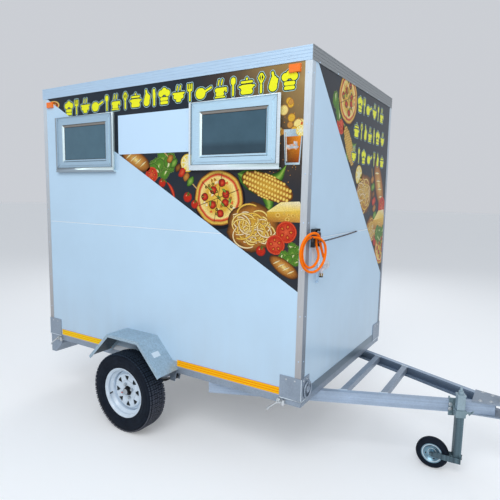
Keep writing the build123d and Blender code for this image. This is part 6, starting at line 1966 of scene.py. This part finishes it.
def tread_bars(centre):
    """Half blocks of the tread: five rows round the tyre and a row of lugs on each shoulder."""
    blocks = []
    count = sizes().tread_count
    lanes = [(*lane, WHEEL_RADIUS - TREAD_DEPTH / 2, 0.0) for lane in TREAD_ROWS]
    lanes += [(way * LUG_OFFSET, LUG_WIDTH, 0.0, WHEEL_RADIUS - LUG_SINK, way * LUG_TILT) for way in (1, -1)]
    for lane, (offset, width, skew, reach, tilt) in enumerate(lanes):
        size = (reach * 2 * math.pi / count * TREAD_SHARE, width, TREAD_DEPTH)
        lean = Matrix.Rotation(math.radians(skew), 3, "Z") @ Matrix.Rotation(math.radians(tilt), 3, "X")
        for index in range(count * 2):
            split = TREAD_SPLIT if index % 2 else -TREAD_SPLIT
            degrees = 360 / count * (index // 2 + split + 0.5 * (lane % 2))
            turn = Matrix.Rotation(math.radians(90 - degrees), 3, "Y") @ lean
            blocks.append((wheel_point(centre, reach, offset, degrees), size, tuple(turn.to_euler("XYZ"))))
    return blocks


class TRAILER_OT_shoe_wheels(bpy.types.Operator):
    """Fit treaded tyres, valves and hub details to the wheels"""

    bl_idname = "trailer.shoe_wheels"
    bl_label = "Shoe the wheels"

    def execute(self, context):
        for side, way in (("right", -1), ("left", 1)):
            self.fit_wheel(side, way)
        self.fit_jockey_rim()
        return {"FINISHED"}

    def fit_wheel(self, side, way):
        """Tyre, tread, valve, a dark disc of painted shade behind the rim's vents, and nut mark of the wheel
        on a side.
        """
        body = "wheel_" + side
        low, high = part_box("tyre_" + side)
        centre = (low + high) / 2
        inner_half = [(radius, -offset) for radius, offset in reversed(TYRE_HALF_PROFILE)]
        carcass = Shape().turned([*TYRE_HALF_PROFILE, *inner_half], centre, (0, 1, 0), 96)
        tyre = carcass.piece("tyre_carcass_" + side, "rubber", body, smooth=True)
        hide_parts("tyre_" + side)
        bars("tyre_tread_" + side, tread_bars(centre), "tread", body)
        angle = VALVE_ANGLE if way < 0 else 180 - VALVE_ANGLE
        foot, tip = [
            wheel_point(centre, radius, way * offset, angle) for radius, offset in (VALVE_FOOT, VALVE_TIP)
        ]
        share, cap_radius = VALVE_CAP
        valve = Shape().rod(foot, tip, VALVE_RADIUS, 12).rod(foot.lerp(tip, share), tip, cap_radius, 12)
        valve.piece("tyre_valve_" + side, "seal", body, smooth=True)
        hub_low, hub_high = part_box("hub_" + side)
        rim_inner = (hub_high if way < 0 else hub_low).y
        # Painted shade: a dark disc shaped like a brake drum behind the rim, so that its vents look shaded
        drum = Shape().turned(VENT_SHADE_PROFILE, (centre.x, rim_inner, centre.z), (0, way, 0), 64)
        drum.piece("brake_drum_" + side, "drum", body, smooth=True)
        start = wheel_point(centre, NUT_MARK[0], way * 2 * FAR, NUT_ANGLE)
        place, facing = on_skin("hub_" + side, start, (0, -way, 0))
        mark = Shape().rod(place - facing * 0.0004, place + facing * 0.0012, NUT_MARK[1], 16)
        mark.piece("nut_mark_" + side, "red", body)

    def fit_jockey_rim(self):
        """Beads in a bright finish as a painted highlight, and black discs as the painted shade of blind
        holes, on both faces of the jockey wheel's rim.
        """
        low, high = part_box("jockey_rim")
        centre = (low + high) / 2
        trims = Shape()
        holes = Shape()
        for way in (-1, 1):
            for reach, thick in JOCKEY_RINGS:
                start = wheel_point(centre, reach, way * FAR, 0)
                spot, _ = on_skin("jockey_rim", start, (0, -way, 0))
                trims.ring((centre.x, spot.y, centre.z), (0, way, 0), reach, thick, 48)
            # Painted shade: black discs where the blind holes are
            for angle in JOCKEY_HOLES:
                start = wheel_point(centre, JOCKEY_HOLE_CIRCLE, way * FAR, angle)
                spot, facing = on_skin("jockey_rim", start, (0, -way, 0))
                holes.rod(spot - facing * 0.0003, spot + facing * 0.0006, JOCKEY_HOLE_RADIUS, 20)
        # Painted highlight: the beads take the bright weld finish
        trims.piece("jockey_rim_beads", "weld", "jockey_wheel", smooth=True)
        holes.piece("jockey_rim_holes", "black", "jockey_wheel")


# Lamps

# Lenses as shares of a lamp's width from its inner end, then bases and ribs
LENSES = (("red_lens", 0.25, 0.645), ("amber_lens", 0.66, 0.97), ("clear_lens", 0.03, 0.235))
LENS_SPAN = (-0.0022, 0.003)
LENS_INSET = 0.004
LAMP_BASE_DEPTH = 0.006
LAMP_BASE_RIM = Vector((0, 0.003, 0.003))
LAMP_RIBS = 15
LAMP_RIB = (0.0006, 0.0009)
LAMP_RIB_SHARE = 0.9
LAMP_RIB_INSET = 0.009
MARKER_BASE_RIM = Vector((0.002, 0, 0.002))
MARKER_BASE_DEPTH = 0.0035
MARKER_RIBS = 11
MARKER_RIB = 0.001
MARKER_RIB_INSET = (0.006, 0.008)


def evenly(start, end, count):
    """Evenly spaced places, the first at the start and the last at the end."""
    return [start + (end - start) * index / (count - 1) for index in range(count)]


class TRAILER_OT_fit_lamps(bpy.types.Operator):
    """Fit lenses, bases and ribs to the lamps"""

    bl_idname = "trailer.fit_lamps"
    bl_label = "Fit the lamps"

    def execute(self, context):
        lamps = solids("tail_lamps")
        for key, first, last in LENSES:
            lens = Shape()
            for low, high in lamps:
                _, far, near = outer(low, high, 1)
                start = (low.x + LENS_SPAN[0], near + (far - near) * first, low.z + LENS_INSET)
                end = (low.x + LENS_SPAN[1], near + (far - near) * last, high.z - LENS_INSET)
                lens.box(start, end)
            piece = lens.piece("tail_" + key, key, bevel=0.0012)
        base = Shape()
        ribs = []
        for low, high in lamps:
            start = (high.x - LAMP_BASE_DEPTH, *(low - LAMP_BASE_RIM).yz)
            base.box(start, (high.x - 2 * GAP, *(high + LAMP_BASE_RIM).yz))
            size = (LAMP_RIB[0], (high.y - low.y) * LAMP_RIB_SHARE, LAMP_RIB[1])
            for up in evenly(low.z + LAMP_RIB_INSET, high.z - LAMP_RIB_INSET, LAMP_RIBS):
                ribs.append(((low.x + LENS_SPAN[0], (low.y + high.y) / 2, up), size, (0, 0, 0)))
        base.piece("tail_lamp_bases", "black", bevel=0.001)
        bars("tail_lamp_ribs", ribs, "red_lens")
        base = Shape()
        ribs = []
        for low, high in solids("side_markers"):
            way, face, _ = outer(low, high, 1)
            wall = LEFT_Y if way > 0 else RIGHT_Y
            start = low - MARKER_BASE_RIM
            end = high + MARKER_BASE_RIM
            base.box((start.x, wall, start.z), (end.x, wall + way * MARKER_BASE_DEPTH, end.z))
            size = (MARKER_RIB, MARKER_RIB, high.z - low.z - MARKER_RIB_INSET[1])
            for along in evenly(low.x + MARKER_RIB_INSET[0], high.x - MARKER_RIB_INSET[0], MARKER_RIBS):
                ribs.append(((along, face, (low.z + high.z) / 2), size, (0, 0, 0)))
        base.piece("side_marker_bases", "amber_lens", bevel=0.0008)
        bars("side_marker_ribs", ribs, "amber_lens")
        return {"FINISHED"}


# Seals, label and a patch of painted light

DOOR_SEAL_HALF = 0.369
DOOR_SEAL_LOW = 0.547
DOOR_SEAL_DOWN = 0.006
SEAL_PROUD = 0.0055
SEAL_FRAME = 0.012
HATCH_RIM = 0.018
LABEL_ABOVE = at(0.135, RIGHT_Y - 0.11, 1.2)
LABEL_HALF = (0.034, 0.02)
PAINTED_LIGHT_PATCH = ((FRONT_X, -0.716, 1.3), (FRONT_X + 0.0012, -0.652, 1.422))


class TRAILER_OT_seal_openings(bpy.types.Operator):
    """Fit the door and hatch seals, the mudguard label and a pale sheet behind the hose, painted light for a
    brighter patch of the front wall
    """

    bl_idname = "trailer.seal_openings"
    bl_label = "Seal the openings"

    def execute(self, context):
        seal = Shape()
        start = (REAR_X - SEAL_PROUD, -DOOR_SEAL_HALF, DOOR_SEAL_LOW)
        end = (REAR_X, DOOR_SEAL_HALF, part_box("rear_door")[1].z - DOOR_SEAL_DOWN)
        seal.frame(start, end, SEAL_FRAME, 0)
        low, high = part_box("hatch_frame")
        start = (low.x - HATCH_RIM, LEFT_Y, low.z - HATCH_RIM)
        end = (high.x + HATCH_RIM, LEFT_Y + SEAL_PROUD, high.z + HATCH_RIM)
        seal.frame(start, end, SEAL_FRAME, 1)
        seal.piece("opening_seals", "seal", bevel=0.001)
        place, facing = on_skin("mudguards", LABEL_ABOVE, (0, 0, -1))
        side = Vector((0, LABEL_HALF[0], 0))
        down = facing.cross(side).normalized() * LABEL_HALF[1]
        points = []
        for proud in (0.0004, 0.0001):
            for across, along in ((-1, -1), (1, -1), (1, 1), (-1, 1)):
                points.append(place + side * across + down * along + facing * proud)
        faces = [(0, 1, 2, 3), (7, 6, 5, 4), (0, 4, 5, 1), (1, 5, 6, 2), (2, 6, 7, 3), (3, 7, 4, 0)]
        Shape().add(points, faces).piece("mudguard_label", "label")
        # Painted light: a pale sheet for a brighter patch of the front wall behind the hose
        Shape().box(*PAINTED_LIGHT_PATCH).piece("blank_notice", "label", bevel=0.0004)
        return {"FINISHED"}


# Camera, light and floor

CAMERA_PLACE = at(2.304, -3.214, 1.724)
CAMERA_YAW = math.radians(-32.198)
CAMERA_PITCH = math.radians(7.398)
CAMERA_ROLL = math.radians(-1.109)
CAMERA_LENS = 33.116
CAMERA_SHIFT = (0.010718, 0.0089)
LAMPS = (
    ("key", (1.6, -5.2, 5.4), 4.5, 250.0),
    ("front", (5.6, 0.5, 4.0), 4.0, 52.0),
    ("far", (-3.0, 5.0, 4.5), 4.0, 120.0),
)
LAMP_AIM = at(0.0, 0.0, 1.2)
FLOOR_REACH = 60.0
FLOOR_LIFT = 0.2


def make_camera(scene):
    """The camera at the photograph's place, with its roll."""
    flat = math.cos(CAMERA_PITCH)
    ahead = Vector((math.sin(CAMERA_YAW) * flat, math.cos(CAMERA_YAW) * flat, -math.sin(CAMERA_PITCH)))
    level = Vector((math.cos(CAMERA_YAW), -math.sin(CAMERA_YAW), 0.0))
    down = ahead.cross(level)
    right = level * math.cos(CAMERA_ROLL) + down * math.sin(CAMERA_ROLL)
    below = down * math.cos(CAMERA_ROLL) - level * math.sin(CAMERA_ROLL)
    data = bpy.data.cameras.new("camera")
    data.lens = CAMERA_LENS
    data.sensor_width = 36.0
    data.shift_x, data.shift_y = CAMERA_SHIFT
    camera = linked("camera", data)
    turn = Matrix((right, -below, -ahead)).transposed().to_4x4()
    camera.matrix_world = Matrix.Translation(CAMERA_PLACE) @ turn
    scene.camera = camera


def seen_rays(tree):
    """One for the camera's rays and those that pass through glass or off metal, else zero."""
    rays = node(tree, "ShaderNodeLightPath").outputs
    seen = calc(tree, "MAXIMUM", rays["Is Camera Ray"], rays["Is Transmission Ray"])
    return calc(tree, "MAXIMUM", seen, rays["Is Glossy Ray"])


def make_world(scene):
    """Even pale light, and a pale backdrop for the camera, glass and metal."""
    world = bpy.data.worlds.new("studio")
    world.use_nodes = True
    scene.world = world
    tree = world.node_tree
    tree.nodes.clear()
    sky = node(tree, "ShaderNodeBackground", {"Color": (0.86, 0.92, 1.0, 1.0), "Strength": 0.52})
    backdrop = node(tree, "ShaderNodeBackground", {"Color": (0.6, 0.62, 0.66, 1.0), "Strength": 1.0})
    inputs = {0: seen_rays(tree), 1: sky.outputs["Background"], 2: backdrop.outputs["Background"]}
    both = node(tree, "ShaderNodeMixShader", inputs)
    node(tree, "ShaderNodeOutputWorld", {"Surface": both.outputs["Shader"]})


def pale_floor():
    """Pale floor that the camera sees a little lighter, shadows included."""
    material = finish("pale_floor", (0.78, 0.8, 0.82), 0.8)
    tree = material.node_tree
    lift = calc(tree, "MULTIPLY", seen_rays(tree), FLOOR_LIFT)
    glow = node(tree, "ShaderNodeEmission", {"Strength": lift})
    inputs = {0: tree.nodes["Principled BSDF"].outputs["BSDF"], 1: glow.outputs["Emission"]}
    both = node(tree, "ShaderNodeAddShader", inputs)
    tree.links.new(both.outputs["Shader"], tree.nodes["Material Output"].inputs["Surface"])
    return material


class TRAILER_OT_set_stage(bpy.types.Operator):
    """Set the camera, the lights and the pale floor"""

    bl_idname = "trailer.set_stage"
    bl_label = "Set the stage"

    def execute(self, context):
        scene = context.scene
        make_camera(scene)
        make_world(scene)
        for name, place, size, power in LAMPS:
            data = bpy.data.lights.new(name, "AREA")
            data.size = size
            data.energy = power
            lamp = linked(name, data)
            lamp.location = place
            lamp.rotation_mode = "QUATERNION"
            lamp.rotation_quaternion = (LAMP_AIM - Vector(place)).to_track_quat("-Z", "Y")
        mesh = bpy.data.meshes.new("floor")
        corners = [(FLOOR_REACH * x, FLOOR_REACH * y, 0) for x, y in ((-1, -1), (1, -1), (1, 1), (-1, 1))]
        mesh.from_pydata(corners, [], [(0, 1, 2, 3)])
        mesh.materials.append(pale_floor())
        linked("floor", mesh)
        scene.view_settings.view_transform = "Standard"
        return {"FINISHED"}


# The add-on

OPERATORS = (
    TRAILER_OT_finish_surfaces,
    TRAILER_OT_print_side,
    TRAILER_OT_print_front,
    TRAILER_OT_hang_hose,
    TRAILER_OT_fit_regulator,
    TRAILER_OT_tie_chain,
    TRAILER_OT_fit_windows,
    TRAILER_OT_stick_tape,
    TRAILER_OT_trim_corners,
    TRAILER_OT_fit_fasteners,
    TRAILER_OT_shoe_wheels,
    TRAILER_OT_fit_lamps,
    TRAILER_OT_seal_openings,
    TRAILER_OT_set_stage,
)


class TRAILER_PT_build(bpy.types.Panel):
    """Sizes, colours and steps of the kitchen trailer"""

    bl_idname = "TRAILER_PT_build"
    bl_label = "Mobile kitchen trailer"
    bl_space_type = "VIEW_3D"
    bl_region_type = "UI"
    bl_category = "Trailer"

    def draw(self, context):
        for group in (context.scene.trailer_sizes, context.scene.trailer_colours):
            for name in group.__annotations__:
                self.layout.prop(group, name)
        for operator in OPERATORS:
            self.layout.operator(operator.bl_idname)


CLASSES = (TrailerSizes, TrailerColours, *OPERATORS, TRAILER_PT_build)


def register():
    for item in CLASSES:
        bpy.utils.register_class(item)
    bpy.types.Scene.trailer_sizes = bpy.props.PointerProperty(type=TrailerSizes)
    bpy.types.Scene.trailer_colours = bpy.props.PointerProperty(type=TrailerColours)


def unregister():
    del bpy.types.Scene.trailer_colours
    del bpy.types.Scene.trailer_sizes
    for item in reversed(CLASSES):
        bpy.utils.unregister_class(item)


def main():
    register()
    for operator in OPERATORS:
        getattr(bpy.ops.trailer, operator.bl_idname.split(".")[1])()


if __name__ == "__main__":
    main()
